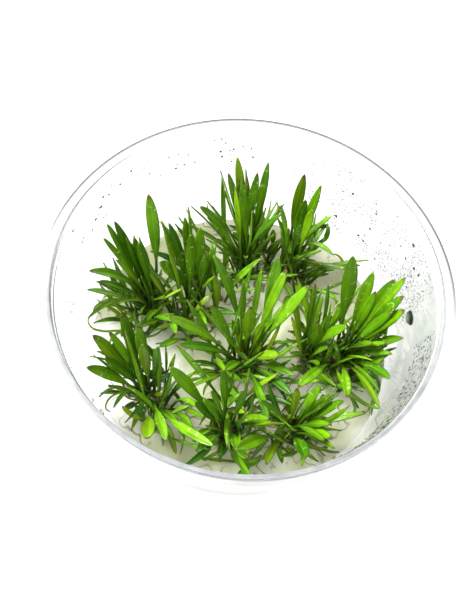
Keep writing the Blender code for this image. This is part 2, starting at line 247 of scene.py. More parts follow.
# Roots
ROOT_ROWS = 22
ROOT_SIDES = 6
ROOT_LENGTHS = (6, 15)
ROOT_RADII = (0.14, 0.32)
ROOT_WALL_GAP = 2.0

# Side shoots, and how many times a random place or leaf is tried
SHOOTS = 4
SHOOT_SIZE = 0.45
SHOOT_APART = (4.2, 9.0)
SHOOT_BOUND = 36
CROWN_SPACING = 3.2
SHOOT_TRIES = 200
TRIES_PER_LEAF = 12

# Water on the wall
DROP_RISE = 0.15
DROP_SINK = 0.01
FOG_SIZE = 0.22
FOG_SPREAD = 0.18
FOG_AZIMUTHS = (2, 92)
FOG_HEIGHTS = (18, 46)
DROP_GROUPS = {
    "drops_left": Drops((95, 172), (37, 46.2), 60, (0.4, 1.0)),
    "drops_far_left": Drops((182, 212), (30, 38), 36, (0.35, 0.8)),
    "drops_right": Drops((10, 62), (26, 45), 26, (0.5, 1.0)),
    "drops_front_right": Drops((-52, -4), (33, 46), 520, (0.3, 0.8), dark=False),
}
LARGE_DROP = (8.2, 31.5, 4.2)

# The sides round a drop and the rows up it
FOG_DETAIL = (6, 2)
DROP_DETAIL = (10, 3)
LARGE_DROP_DETAIL = (24, 6)

# The first number of each stream of random draws
LEAF_SEED = 7
CROWN_SEED = 11
YOUNG_SEED = 23
ROOT_SEED = 31
WATER_SEED = 41

# The plants that the frame was built from
PLANTS = {
    "back": Plant((-1.0, 24.0), 5, [
        Leaf(116, 28, 36, 2.6, 0.05),
        Leaf(85, 23, 36, 2.4),
        Leaf(96, 21, 33, 2.6),
        Leaf(182, 28, 32, 2.8, 0.08, 0.03),
        Leaf(327, 15, 26, 3.0, 0.08, 0.06),
        Leaf(133, 23, 34, 2.2),
        Leaf(200, 2, 30, 2.8, 0.03),
        Leaf(117, 21, 31, 1.7, 0.03),
        Leaf(109, 20, 31, 1.8, 0.03),
        Leaf(138, 26, 35, 1.6, 0.04, 0, 60),
        Leaf(167, 28, 30, 1.4, 0.03, 0, 60),
        Leaf(184, 31, 34, 1.4, 0.05, 0, 50),
        Leaf(23, 16, 27, 2.2, 0.14),
        Leaf(126, 22, 28, 1.8, 0.03),
        Leaf(192, 24, 24, 2.2, 0.06),
        Leaf(186, 35, 29, 1.8, 0.08),
    ]),
    "back_right": Plant((11.0, 26.0), 5, [
        Leaf(94, 18, 34, 3.0, 0.03, -0.02),
        Leaf(63, 16, 33, 2.6),
        Leaf(41, 8, 28, 3.0, 0.03),
        Leaf(216, 13, 25, 3.2),
        Leaf(318, 23, 24, 3.0, 0.10, 0.04),
        Leaf(82, 10, 29, 3.0, 0.03),
        Leaf(15, 15, 28, 2.2, 0.05, -0.04),
        Leaf(5, 17, 25, 1.8, 0.06, -0.18),
        Leaf(275, 5, 27, 1.8, 0.03),
        Leaf(308, 29, 20, 1.8, 0.10),
        Leaf(336, 44, 23, 1.6, 0.16, 0.05),
        Leaf(330, 30, 25, 1.6, 0.16, -0.12),
    ]),
    "left": Plant((-25.5, 6.0), 5, [
        Leaf(103, 28, 36, 3.4, 0.05, 0.03),
        Leaf(145, 24, 33, 2.6, 0.05),
        Leaf(152, 26, 33, 2.4, 0.05),
        Leaf(200, 32, 30, 3.2, 0.14, 0.04),
        Leaf(215, 36, 30, 2.4, 0.08),
        Leaf(165, 26, 31, 2.0, 0.06),
        Leaf(147, 18, 29, 2.2),
        Leaf(134, 17, 28, 2.2),
        Leaf(140, 10, 29, 2.4, 0.03),
        Leaf(211, 30, 28, 2.2, 0.08),
        Leaf(228, 9, 22, 2.2, 0.03),
        Leaf(181, 21, 26, 1.6, 0.05),
        Leaf(336, 25, 24, 1.6, 0.08, 0.08),
        Leaf(308, 24, 16, 3.0, 0.08),
        Leaf(229, 48, 28, 1.2, 0.12, 0.10),
    ]),
    "left_back": Plant((-13.5, 8.5), 4, [
        Leaf(97, 12, 32, 2.8, 0.03),
        Leaf(172, 30, 22, 4.2, 0.10, 0.04),
        Leaf(120, 12, 30, 2.8, 0.03),
        Leaf(119, 21, 32, 2.4),
        Leaf(144, 20, 33, 2.4),
        Leaf(74, 11, 24, 2.4),
        Leaf(62, 15, 28, 2.0),
        Leaf(113, 24, 35, 1.4, 0.04, 0, 40),
        Leaf(147, 24, 33, 1.6),
        Leaf(252, 14, 18, 2.2, 0.06),
        Leaf(243, 29, 20, 1.8, 0.08),
        Leaf(286, 43, 22, 2.2, 0.10),
    ]),
    "centre": Plant((2.5, -7.0), 6, [
        Leaf(129, 33, 36, 2.6, 0.05, 0.05),
        Leaf(77, 29, 36, 3.4, 0.05, 0.04),
        Leaf(42, 30, 34, 3.4, 0.06),
        Leaf(105, 8, 28, 3.4, 0.03),
        Leaf(158, 28, 26, 2.8, 0.08),
        Leaf(186, 38, 34, 3.0, 0.10),
        Leaf(66, 31, 34, 2.8, 0.05),
        Leaf(201, 41, 28, 2.8, 0.12),
        Leaf(334, 27, 20, 3.6, 0.12),
        Leaf(107, 22, 30, 1.7, 0.03),
        Leaf(195, 11, 20, 2.6),
        Leaf(289, 50, 30, 2.2, 0.12),
        Leaf(330, 45, 21, 2.4, 0.14),
        Leaf(314, 49, 24, 2.6, 0.14),
        Leaf(247, 31, 24, 2.4, 0.10),
    ]),
    "mid_right": Plant((19.0, -4.0), 2, [
        Leaf(98, 2, 24, 3.2, 0.04, 0.04),
        Leaf(15, 19, 24, 3.2, 0.12, -0.05),
        Leaf(103, 20, 30, 1.8),
        Leaf(85, 20, 30, 1.4, 0.04, 0.05, 40),
        Leaf(153, 20, 22, 1.5, 0.14, -0.10),
        Leaf(329, 14, 18, 2.4, 0.08),
        Leaf(285, 24, 18, 2.4, 0.10),
        Leaf(125, 33, 24, 1.8, 0.08),
    ]),
    "right": Plant((28.5, -0.5), 6, [
        Leaf(107, 22, 36, 4.4),
        Leaf(79, 19, 33, 3.0),
        Leaf(45, 24, 35, 2.6, 0.06),
        Leaf(16, 23, 30, 3.4, 0.05),
        Leaf(308, 39, 26, 3.0, 0.12),
        Leaf(237, 47, 32, 2.8, 0.10),
        Leaf(48, 26, 31, 3.2, 0.05),
        Leaf(334, 23, 24, 2.6, 0.08),
        Leaf(329, 30, 24, 2.0, 0.10),
        Leaf(208, 10, 24, 3.4, 0.08, 0.06),
        Leaf(270, 45, 27, 2.6, 0.10),
        Leaf(289, 46, 32, 2.0, 0.10),
        Leaf(296, 46, 24, 1.6, 0.10),
        Leaf(278, 50, 24, 1.4, 0.10, 0.10),
        Leaf(30, 22, 32, 3.4, 0.05),
        Leaf(8, 15, 30, 3.0, 0.05),
        Leaf(350, 22, 26, 3.0, 0.08),
        Leaf(62, 14, 30, 2.6),
        Leaf(320, 18, 22, 2.8, 0.10),
    ]),
    "front_left": Plant((-21.0, -21.0), 5, [
        Leaf(170, 24, 33, 3.6, 0.06),
        Leaf(129, 27, 30, 3.0),
        Leaf(194, 31, 28, 3.0, 0.10),
        Leaf(281, 44, 24, 3.6, 0.06),
        Leaf(319, 50, 33, 2.6, 0.10, 0.06),
        Leaf(115, 18, 29, 2.8),
        Leaf(115, 10, 26, 2.8, 0.03),
        Leaf(65, 10, 26, 2.2, 0.03),
        Leaf(185, 22, 27, 2.8, 0.06),
        Leaf(154, 22, 30, 2.2, 0.05),
        Leaf(142, 22, 24, 2.0),
        Leaf(296, 50, 22, 2.8, 0.14),
        Leaf(239, 34, 22, 1.1, 0.14, 0.12),
    ]),
    "front": Plant((1.0, -27.0), 4, [
        Leaf(164, 32, 32, 3.2, 0.06),
        Leaf(193, 21, 26, 3.0, 0.06),
        Leaf(329, 10, 24, 3.4),
        Leaf(119, 15, 28, 2.6),
        Leaf(350, 24, 22, 2.8, 0.08),
        Leaf(168, 13, 26, 2.0),
        Leaf(190, 16, 26, 2.6),
        Leaf(300, 34, 20, 2.6, 0.12),
        Leaf(286, 30, 18, 2.4, 0.10),
        Leaf(238, 38, 22, 1.8, 0.12),
        Leaf(60, 14, 22, 2.0, 0.05),
        Leaf(300, 45, 16, 3.2, 0.16),
    ]),
    "front_right": Plant((17.0, -24.0), 4, [
        Leaf(225, 41, 30, 3.2, 0.08),
        Leaf(4, 20, 28, 2.8, 0.06),
        Leaf(282, 33, 24, 3.4, 0.12),
        Leaf(42, 10, 28, 2.4, 0.05),
        Leaf(319, 27, 24, 2.6, 0.10),
        Leaf(125, 7, 25, 2.6),
        Leaf(335, 23, 22, 2.6, 0.08),
        Leaf(314, 32, 25, 1.8, 0.10),
        Leaf(308, 26, 24, 2.2, 0.10),
        Leaf(190, 23, 26, 1.8, 0.06),
        Leaf(20, 16, 26, 2.2, 0.05),
    ]),
}

# Thin bent leaves, read off the photograph plant by plant
BENT = {
    "left": [
        Bent(1.4, 0.15, ((136, 309, 4), (121, 307, 7), (112, 304, 9), (103, 303, 10), (96, 307, 10),
                         (93, 316, 9))),
        Bent(0.9, 0.3, ((143, 322, 3), (133, 331, 3), (122, 331, 3), (113, 337, 3), (108, 346, 2.5))),
    ],
    "left_back": [
        Bent(0.8, 0.25, ((178, 311, 4), (171, 317, 4), (165, 327, 3), (152, 336, 3), (137, 335, 3),
                         (120, 331, 4), (102, 331, 5.5), (91, 327, 7), (88, 321, 8), (91, 315, 8.5))),
        Bent(0.9, 0.1, ((190, 318, 2.5), (178, 330, 3), (166, 342, 3), (155, 344, 3.5))),
    ],
    "back": [
        Bent(0.8, 0.0, ((238, 262, 4), (226, 244, 9), (216, 226, 13), (208, 210, 15), (207, 203, 15))),
        Bent(1.0, 0.1, ((252, 262, 4), (262, 240, 9), (270, 222, 14), (278, 208, 17), (277, 202, 17))),
    ],
    "back_right": [
        Bent(1.8, 0.0, ((300, 258, 3), (312, 250, 7), (320, 243, 10), (326, 237, 13), (328, 230, 15),
                        (327, 223, 15.5))),
        Bent(1.0, 0.5, ((295, 274, 2), (305, 271, 3), (315, 267, 4), (327, 266, 4.5), (343, 269, 4.5))),
        Bent(1.4, 0.3, ((293, 277, 1.5), (300, 278, 2), (312, 274, 3), (322, 270, 3.5), (333, 270, 4))),
    ],
    "centre": [
        Bent(0.9, 0.2, ((238, 368, 2), (226, 372, 2.5), (214, 378, 3), (205, 388, 2.5), (203, 396, 2))),
        Bent(1.1, 0.1, ((258, 352, 5), (270, 345, 9), (280, 342, 11), (287, 345, 11), (290, 352, 10))),
        Bent(0.7, 0.0, ((256, 376, 3), (262, 388, 3), (261, 398, 2.5), (255, 404, 2))),
    ],
    "mid_right": [
        Bent(1.4, 0.0, ((318, 374, 4), (331, 383, 6), (347, 391, 8), (356, 398, 9), (365, 404, 9.5),
                        (380, 409, 10.5))),
        Bent(0.8, 0.1, ((296, 368, 2), (286, 372, 2.5), (278, 380, 2.5), (276, 388, 2))),
    ],
    "right": [
        Bent(0.9, 0.0, ((343, 376, 5), (348, 390, 6), (353, 401, 5), (355, 409, 4), (352, 415, 3),
                        (346, 418, 2.4))),
        Bent(1.2, 0.0, ((345, 380, 5), (351, 396, 6), (359, 409, 5.5))),
        Bent(0.5, 0.3, ((372, 380, 4), (374, 388, 4), (373, 397, 3), (370, 406, 2.5), (366, 412, 2.2),
                        (361, 411, 2))),
        Bent(0.9, 0.0, ((372, 372, 6), (379, 384, 6.5), (377, 395, 6), (373, 405, 5.5), (371, 416, 5.2))),
        Bent(1.0, 0.8, ((350, 290, -0.6), (347, 275, 2.5), (344, 265, 4.5), (341, 259, 6), (337, 255, 6.5),
                        (332, 254, 6.5))),
    ],
    "front_left": [
        Bent(0.6, 0.4, ((138, 400, 2), (128, 398, 2.5), (122, 393, 3), (114, 395, 3.5), (107, 402, 3.5),
                        (106, 409, 3), (111, 412, 2.6))),
        Bent(0.7, 0.3, ((158, 412, 2.5), (165, 416, 2.5), (170, 414, 3), (176, 418, 3), (181, 427, 2.5),
                        (184, 438, 2), (182, 447, 1.8), (180, 455, 1.5))),
        Bent(1.8, 0.35, ((160, 420, 3), (169, 432, 4), (173, 444, 3.5), (176, 454, 3))),
        Bent(0.9, 0.35, ((160, 408, 2.5), (170, 412, 3), (178, 412, 3), (183, 407, 4), (184, 401, 5))),
        Bent(1.6, 0.6, ((146, 410, 3), (138, 417, 3.5), (128, 412, 4), (122, 406, 4))),
    ],
    "front": [
        Bent(1.0, 0.1, ((224, 444, 2), (218, 452, 2), (211, 456, 2), (204, 459, 2.5), (200, 455, 3),
                        (197, 450, 3))),
        Bent(2.2, 0.0, ((230, 448, 2), (236, 458, 2), (246, 463, 2), (256, 461, 2.5), (262, 455, 3))),
    ],
    "front_right": [
        Bent(1.0, 0.2, ((296, 440, 2.5), (310, 447, 3), (322, 449, 3.5), (332, 452, 3.5), (340, 452, 3.5))),
        Bent(0.8, 0.4, ((300, 424, 3), (314, 424, 4), (324, 418, 5), (330, 420, 5), (331, 427, 4.5))),
    ],
}

# Further leaves, read off the photograph plant by plant: each row is one Seen
SEEN = {
    "back": [
        (242, 175, 30, 1.6), (248, 174, 30, 1.8), (222, 175, 28, 1.8, 0.06), (236, 187, 27, 2.0),
        (252, 209, 20, 2.8), (263, 191, 25, 1.5), (277, 202, 17, 1.6, 0.14), (266, 207, 20, 1.6, 0.12),
        (232, 224, 18, 2.2), (226, 190, 26, 1.4), (213, 205, 12, 0.9, 0.10), (207, 217, 10, 1.6, 0.08),
        (245, 222, 18, 1.6), (259, 225, 16, 1.4), (240, 232, 13, 1.6), (218, 238, 7, 1.6),
        (270, 240, 10, 2.0), (255, 240, 12, 1.6), (262, 246, 9, 1.6), (228, 246, 8, 1.6),
    ],
    "back_right": [
        (289, 228, 16, 2.0), (299, 226, 17, 2.0), (306, 229, 15, 1.8), (326, 216, 17, 2.2, 0.05),
        (327, 224, 15, 1.6, 0.12, -0.08), (316, 215, 17, 1.4), (303, 241, 11, 2.0), (321, 250, 8, 2.4, 0.06),
        (329, 266, 2.5, 1.8, 0.20), (334, 270, 2, 1.8, 0.14), (300, 253, 8, 2.0), (279, 205, 17, 1.4),
        (314, 262, 4, 1.6, 0.10), (286, 246, 10, 1.8), (277, 250, 9, 2.0), (296, 237, 12, 1.6),
        (309, 246, 8, 1.6),
    ],
    "left": [
        (125, 235, 24, 2.2), (134, 235, 24, 2.2), (131, 244, 20, 1.8), (140, 239, 22, 2.2),
        (139, 250, 17, 2.4), (113, 257, 14, 1.8), (121, 262, 12, 1.6), (103, 262, 15, 1.8),
        (96, 281, 9, 2.4), (142, 272, 12, 2.2), (118, 284, 7, 1.6), (110, 291, 5, 1.6),
        (153, 272, 13, 2.0), (98, 302, 2, 2.0, 0.12), (113, 321, 1.2, 2.2, 0.08), (131, 300, 4, 1.6),
        (165, 300, 5, 2.0), (160, 288, 8, 1.8), (128, 283, 9, 1.4),
    ],
    "left_back": [
        (162, 220, 27, 1.8), (165, 221, 26, 1.0), (176, 223, 26, 1.8), (183, 218, 26, 1.8),
        (186, 208, 29, 0.9), (190, 231, 22, 2.4), (198, 228, 22, 2.8), (204, 257, 14, 2.0),
        (172, 254, 16, 1.6), (180, 246, 18, 2.0), (187, 263, 12, 1.4), (206, 283, 7, 2.2),
        (192, 289, 7, 2.0), (213, 258, 14, 2.2), (208, 246, 16, 1.8), (178, 283, 7, 2.0),
        (188, 296, 5, 1.8), (218, 290, 5, 2.0),
    ],
    "centre": [
        (241, 333, 11, 3.0), (232, 319, 15, 1.8), (257, 322, 14, 1.8), (264, 332, 11, 2.0),
        (253, 262, 27, 1.6), (262, 268, 26, 2.0), (273, 330, 10, 1.6), (223, 333, 11, 2.0),
        (201, 307, 19, 2.0), (188, 300, 20, 2.4, 0.10), (233, 345, 8, 1.8), (262, 345, 7, 2.2),
        (221, 352, 6, 1.8), (270, 350, 5, 1.8), (289, 372, 1.0, 2.2, 0.03), (290, 392, 0.9, 2.2, 0.03),
        (205, 373, 2, 2.0), (197, 365, 3, 1.6),
    ],
    "mid_right": [
        (322, 300, 22, 1.6), (331, 304, 20, 1.4), (312, 336, 10, 1.8), (298, 345, 6, 1.8),
        (326, 349, 5, 2.0), (315, 345, 7, 1.8), (306, 330, 12, 1.2), (291, 352, 4, 1.4), (324, 335, 10, 1.6),
    ],
    "right": [
        (373, 271, 25, 0.9), (357, 285, 24, 2.2), (350, 303, 20, 1.2), (361, 312, 18, 1.4),
        (376, 308, 19, 1.8), (385, 301, 21, 1.8), (391, 300, 20, 1.8), (396, 299, 20, 1.6),
        (389, 327, 14, 1.8), (380, 318, 17, 1.6), (368, 322, 15, 1.6), (387, 346, 9, 2.0),
        (376, 331, 12, 2.0), (377, 361, 5, 2.4), (391, 353, 7, 1.8), (383, 369, 3, 1.6),
        (349, 336, 10, 1.6), (361, 340, 8, 1.6), (330, 378, 2, 1.8), (318, 372, 2, 1.8),
        (340, 380, 2, 1.6), (352, 377, 2, 1.8),
    ],
    "front_left": [
        (112, 343, 20, 3.0), (134, 312, 23, 2.2), (143, 343, 17, 2.2), (153, 348, 16, 1.8),
        (159, 346, 16, 1.8), (106, 356, 14, 2.4), (89, 356, 9, 0.9, 0.10), (114, 372, 9, 1.6),
        (125, 376, 9, 2.2), (128, 385, 8, 1.8), (163, 363, 10, 1.4, 0.12), (171, 372, 8, 1.6),
        (121, 350, 17, 1.2), (125, 330, 19, 1.4), (99, 350, 14, 1.6), (124, 408, 3, 2.0),
        (135, 412, 2.5, 2.2), (183, 404, 2, 1.2, 0.16), (131, 431, 1.2, 1.8), (163, 446, 1.2, 1.2),
    ],
    "front": [
        (209, 399, 11, 2.4), (178, 345, 18, 2.2), (240, 392, 14, 2.6, 0.12), (253, 401, 12, 1.8, 0.12),
        (232, 386, 16, 1.6), (211, 443, 2, 1.8), (222, 455, 1.2, 1.8), (232, 452, 1.6, 2.0),
        (248, 412, 9, 2.8), (256, 430, 4, 2.0), (196, 451, 1.2, 1.6, 0.10), (205, 459, 1.0, 1.4),
        (220, 462, 1.0, 1.8), (207, 427, 4, 1.6), (238, 440, 3, 1.8), (245, 462, 1.0, 2.2),
    ],
    "front_right": [
        (289, 399, 12, 2.4), (266, 399, 12, 2.2), (270, 418, 6, 2.2), (339, 392, 12, 2.2),
        (331, 420, 5, 2.4), (322, 392, 13, 1.6), (317, 390, 13, 1.4), (326, 456, 1.2, 0.9),
        (295, 455, 1.2, 1.8), (262, 460, 1.2, 2.0), (300, 404, 11, 1.8), (283, 412, 9, 1.8),
        (309, 412, 9, 1.8), (276, 430, 5, 1.8), (305, 430, 5, 1.8), (330, 446, 2, 1.6),
    ],
}

# The camera, fitted to the rim's ellipse in the photograph
CAMERA_PLACE = (0.0, -83.6, 195.13)
CAMERA_AIM = (-2.56, -5.94, 50.0)
CAMERA_ROLL = 7.41
CAMERA_LENS = 42.3
CAMERA_NEAREST = 5.0
FOCAL_PIXELS = 700.0
MIDDLE_PIXEL = (235.0, 298.0)

# The studio, in metres: the size and place of each lamp, the floor, and the sky's greys by height
LAMPS = {"key": (0.30, (-0.42, 0.12, 0.48)), "fill": (0.40, (0.35, -0.25, 0.55))}
LAMP_AIM = (0.0, 0.0, 0.03)
FLOOR_REACH = 1.2
FLOOR_DROP = 0.0002
SKY = ((0.05, (0.65, 0.65, 0.65, 1)), (0.75, (0.75, 0.75, 0.75, 1)))

# Colours, as linear red, green and blue
BLACK = (0.0, 0.0, 0.0)
HAZE = (0.72, 0.75, 0.71)
# Painted shade on the rim: grey streaks round the mouth, and the edge dark behind and pale in front
MOUTH_SHADE_DARK, MOUTH_SHADE_PALE = (0.22, 0.23, 0.24), (0.34, 0.35, 0.36)
EDGE_SHADE_BEHIND, EDGE_LIGHT_IN_FRONT = (0.12, 0.125, 0.13), (0.93, 0.94, 0.94)
GEL_CLOUD = (0.90, 0.92, 0.76)
# Painted shade in the gel's crease lines
GEL_CREASE_SHADE = (0.26, 0.24, 0.11)
GEL_BITS = (0.22, 0.17, 0.06)
# A painted pool of light in the gel, and the glow it gives
GEL_LIT = (0.98, 0.98, 0.96)
GEL_GLOW = (1.0, 0.99, 0.93)
LEAF_LINES = (0.02, 0.08, 0.001)
LEAF_UNDER = (0.12, 0.25, 0.03)
LEAF_YELLOW = (0.36, 0.42, 0.01)
# Painted shade along leaf margins
LEAF_MARGIN_SHADE = (0.02, 0.05, 0.001)
# Painted shade on one half of a blade
LEAF_HALF_SHADE = (0.015, 0.06, 0.0)
# Painted glints on leaves
LEAF_GLINTS = (0.46, 0.58, 0.20)
# A stalk's own deep green, also standing for painted shade in the tuft
LEAF_STALK_AND_SHADE = (0.02, 0.06, 0.003)
LEAF_TIP = (0.075, 0.045, 0.01)
BASE_STAINS = (0.16, 0.12, 0.04)
ROOT_DARK, ROOT_TAN, ROOT_END = (0.22, 0.15, 0.05), (0.50, 0.40, 0.20), (0.66, 0.60, 0.40)
# Painted shade: the greys that let clear drops and fog show on the white ground
WATER_SHADE_PATCHES = (0.60, 0.63, 0.62)
FOG_SHADE_PATCHES = (0.26, 0.27, 0.27)
DARK_SHADE_WATER, DARK_SHADE_PATCHES = (0.26, 0.27, 0.27), (0.14, 0.15, 0.15)
# Painted reflection of the leaves in the large drop's green
LEAF_REFLECTION_WATER, LEAF_REFLECTION_PATCHES = (0.34, 0.44, 0.36), (0.16, 0.24, 0.17)
FLOOR_PATCHES = (0.30, 0.30, 0.30)

# Where the gel's painted pool of light and glow lies, in metres
GLOW_PLACE = (-0.031, -0.014, 0.012)


# Numbers and arrays


def unit(vectors):
    """The vectors scaled to a length of 1."""
    return vectors / np.linalg.norm(vectors, axis=-1, keepdims=True)


def smooth_step(values, low, high):
    """0 below low, 1 above high and 3t^2 - 2t^3 between them."""
    t = np.clip((values - low) / (high - low), 0, 1)
    return t * t * (3 - 2 * t)


def looking(place, towards, roll):
    """The matrix of a lamp or camera at a place that looks along towards, turned by roll degrees."""
    forward = unit(np.asarray(towards, float))
    level = unit(np.cross(forward, (0.0, 0.0, 1.0)))
    upright = np.cross(level, forward)
    r = math.radians(roll)
    matrix = np.eye(4)
    matrix[:3, 0] = math.cos(r) * level + math.sin(r) * upright
    matrix[:3, 1] = math.cos(r) * upright - math.sin(r) * level
    matrix[:3, 2] = -forward
    matrix[:3, 3] = place
    return matrix


def sight(x, y, height):
    """The point that is seen at a pixel of the photograph and stands at a height over the gel."""
    place = np.array(CAMERA_PLACE)
    turn = looking(place, np.array(CAMERA_AIM) - place, CAMERA_ROLL)[:3, :3]
    line = turn @ (x - MIDDLE_PIXEL[0], MIDDLE_PIXEL[1] - y, -FOCAL_PIXELS)
    return place + line * (GEL_TOP + height - place[2]) / line[2]


def over_gel(place, height=0.0):
    """The point at a height over the gel, above a place on it."""
    return np.array((place[0], place[1], GEL_TOP + height))


def wall_radius(height):
    """The cup's inner radius, which grows evenly with height from the floor to the step under the mouth."""
    rise = (height - GEL_TOP) / (STEP_HEIGHT - GEL_TOP)
    return GEL_LINE_RADIUS + rise * (STEP_RADIUS - GEL_LINE_RADIUS)


def grid_quads(rows, columns):
    """The faces of a grid whose columns close into a ring."""
    row, column = np.meshgrid(np.arange(rows - 1), np.arange(columns), indexing="ij")
    a = row * columns + column
    b = row * columns + (column + 1) % columns
    return np.stack((a, b, b + columns, a + columns), axis=-1).reshape(-1, 4)


def fan_tris(ring, pole):
    """A fan from the pole to each side of a ring of points."""
    return np.stack((ring, np.roll(ring, -1), np.full(len(ring), pole)), axis=-1)


def capped_tube(rings, first, last, layers):
    """A closed surface: rings of points, (rows, columns, 3), with a pole at either end.

    Each layer has one value for each ring point, with the first and last ring's mean at the poles.
    """
    rows, columns = rings.shape[:2]
    count = rows * columns
    points = np.vstack((rings.reshape(-1, 3), first, last))
    start = fan_tris(np.arange(columns)[::-1], count)
    end = fan_tris(np.arange(count - columns, count), count + 1)
    values = {}
    for name, layer in layers.items():
        layer = np.broadcast_to(layer, (rows, columns))
        values[name] = np.concatenate((layer.ravel(), (layer[0].mean(), layer[-1].mean())))
    return outward(Surface(points, grid_quads(rows, columns), np.vstack((start, end)), values))


def outward(surface):
    """The surface with its faces turned round if its signed volume is negative."""
    p, q, t = surface.points, surface.quads, surface.tris
    corners = np.vstack((q[:, (0, 1, 2)], q[:, (0, 2, 3)], t))
    volume = np.einsum("ij,ij->i", p[corners[:, 0]], np.cross(p[corners[:, 1]], p[corners[:, 2]])).sum()
    return surface if volume > 0 else surface._replace(quads=q[:, ::-1], tris=t[:, ::-1])


def joined(surfaces):
    """One surface from several, their points numbered on from one to the next."""
    starts = np.cumsum([0] + [len(s.points) for s in surfaces[:-1]])
    return Surface(
        points=np.vstack([s.points for s in surfaces]),
        quads=np.vstack([s.quads + start for s, start in zip(surfaces, starts)]),
        tris=np.vstack([s.tris + start for s, start in zip(surfaces, starts)]),
        layers={name: np.concatenate([s.layers[name] for s in surfaces]) for name in surfaces[0].layers},
    )


def lathe(profile, segments, shape=None):
    """A closed surface turned about Z from (radius, height) rows that start and end on the axis.

    shape, where given, takes and returns the rings of points and moves them off the plain turned form.
    """
    profile = np.array(profile)
    angles = np.linspace(0, FULL_TURN, segments, endpoint=False)
    radius = profile[1:-1, 0, None]
    height = np.broadcast_to(profile[1:-1, 1, None], (len(profile) - 2, segments))
    rings = np.stack((radius * np.cos(angles), radius * np.sin(angles), height), axis=-1)
    poles = [np.array((0.0, 0.0, profile[end, 1])) for end in (0, -1)]
    if shape:
        rings = shape(rings)
        poles = [shape(pole[None, None])[0, 0] for pole in poles]
    return capped_tube(rings, *poles, {})


def softened(corners):
    """A profile whose corners of (radius, height, reach) are rounded by quadratic Bezier curves.

    Each curve starts and ends reach away from its corner, and its middle point is the corner.
    """
    corners = [np.array(c, float) for c in corners]
    profile = [corners[0][:2]]
    for before, corner, after in zip(corners, corners[1:], corners[2:]):
        place, reach = corner[:2], corner[2]
        if reach == 0:
            profile.append(place)
            continue
        start = place + reach * unit(before[:2] - place)
        end = place + reach * unit(after[:2] - place)
        u = np.linspace(0, 1, CORNER_POINTS)[:, None]
        profile.extend((1 - u) ** 2 * start + 2 * u * (1 - u) * place + u**2 * end)
    profile.append(corners[-1][:2])
    return np.array(profile)


def new_piece(name, surface, material):
    """A smooth-shaded mesh object of the surface, which rides on the body and takes the slot's finish."""
    loops = np.concatenate((surface.quads.ravel(), surface.tris.ravel()))
    starts = np.concatenate((np.arange(len(surface.quads)) * 4,
                             len(surface.quads) * 4 + np.arange(len(surface.tris)) * 3))
    mesh = bpy.data.meshes.new(name)
    mesh.vertices.add(len(surface.points))
    mesh.vertices.foreach_set("co", (surface.points * MM).astype(np.float32).ravel())
    mesh.loops.add(len(loops))
    mesh.loops.foreach_set("vertex_index", loops.astype(np.int32))
    mesh.polygons.add(len(starts))
    mesh.polygons.foreach_set("loop_start", starts.astype(np.int32))
    mesh.update(calc_edges=True)
    if mesh.validate():
        raise ValueError(f"{name} has faulty faces")
    mesh.shade_smooth()
    for layer, values in surface.layers.items():
        mesh.attributes.new(layer, "FLOAT", "POINT").data.foreach_set("value", values.astype(np.float32))
    mesh.materials.append(material)
    piece = bpy.data.objects.new(name, mesh)
    bpy.context.scene.collection.objects.link(piece)
    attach(piece, BODY)
    return piece


# Where the leaves stand


def leaf_axes(azimuth, lean, twist):
    """Directions: along the line to the tip, across the blade, and out of its upper face."""
    turn, tilt, roll = np.radians((azimuth, lean, twist))
    away = np.array((math.cos(turn), math.sin(turn), 0.0))
    up = np.array((0.0, 0.0, 1.0))
    line = math.sin(tilt) * away + math.cos(tilt) * up
    face = math.sin(tilt) * up - math.cos(tilt) * away
    across = np.cross(line, face)
    return (line, across * math.cos(roll) - face * math.sin(roll),
            face * math.cos(roll) + across * math.sin(roll))


def stand_at(place, leaf, foot_turn, foot):
    """The stand of a leaf whose foot is turned round the crown from its azimuth."""
    line, across, _ = leaf_axes(leaf.azimuth, leaf.lean, leaf.twist)
    _, aside, above = leaf_axes(leaf.azimuth, leaf.lean, 0.0)
    crown = over_gel(place)
    angle = math.radians(leaf.azimuth + foot_turn)
    start = crown + (foot[0] * math.cos(angle), foot[0] * math.sin(angle), foot[1])
    tip = crown + (0, 0, READING_HEIGHT) + leaf.length * line
    middle = (start + tip) / 2 + 2 * leaf.length * (leaf.arch * above + leaf.sweep * aside)
    return Stand(start, middle, tip, across)


def hermite(v, start, leave, end, arrive):
    """Points and slopes of the Hermite curve over v from 0 to 1, with its slopes at both ends."""
    points = ((2 * v**3 - 3 * v**2 + 1) * start + (v**3 - 2 * v**2 + v) * leave
              + (3 * v**2 - 2 * v**3) * end + (v**3 - v**2) * arrive)
    slopes = ((6 * v**2 - 6 * v) * start + (3 * v**2 - 4 * v + 1) * leave
              + (6 * v - 6 * v**2) * end + (3 * v**2 - 2 * v) * arrive)
    return points, slopes


def midline(stand, u):
    """Points and unit headings of the quadratic Bezier curve from foot to tip."""
    u = np.asarray(u)[:, None]
    centre = (1 - u) ** 2 * stand.foot + 2 * u * (1 - u) * stand.middle + u**2 * stand.tip
    return centre, unit((1 - u) * (stand.middle - stand.foot) + u * (stand.tip - stand.middle))


def blade_width(along, width, rise=BLADE_RISE, fall=BLADE_FALL, petiole=PETIOLE_WIDTH):
    """A thin petiole, then a lance-shaped blade that is widest rise / (rise + fall) of the way along."""
    blade = np.clip((along - PETIOLE_SHARE) / (1 - PETIOLE_SHARE), 0, 1)
    peak = rise / (rise + fall)
    most = peak**rise * (1 - peak) ** fall
    shape = width * blade**rise * (1 - blade) ** fall / most
    return np.maximum(shape, petiole * (1 - PETIOLE_TAPER * along))


def node_corners(node):
    """A frame node's corners in millimetres, one to a row."""
    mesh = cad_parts[node].data
    corners = np.empty(len(mesh.vertices) * 3)
    mesh.vertices.foreach_get("co", corners)
    return corners.reshape(-1, 3) / MM


def misses(points, corners):
    """The distance from each point to the nearest corner."""
    return np.linalg.norm(points[:, None] - corners, axis=-1).min(axis=1)


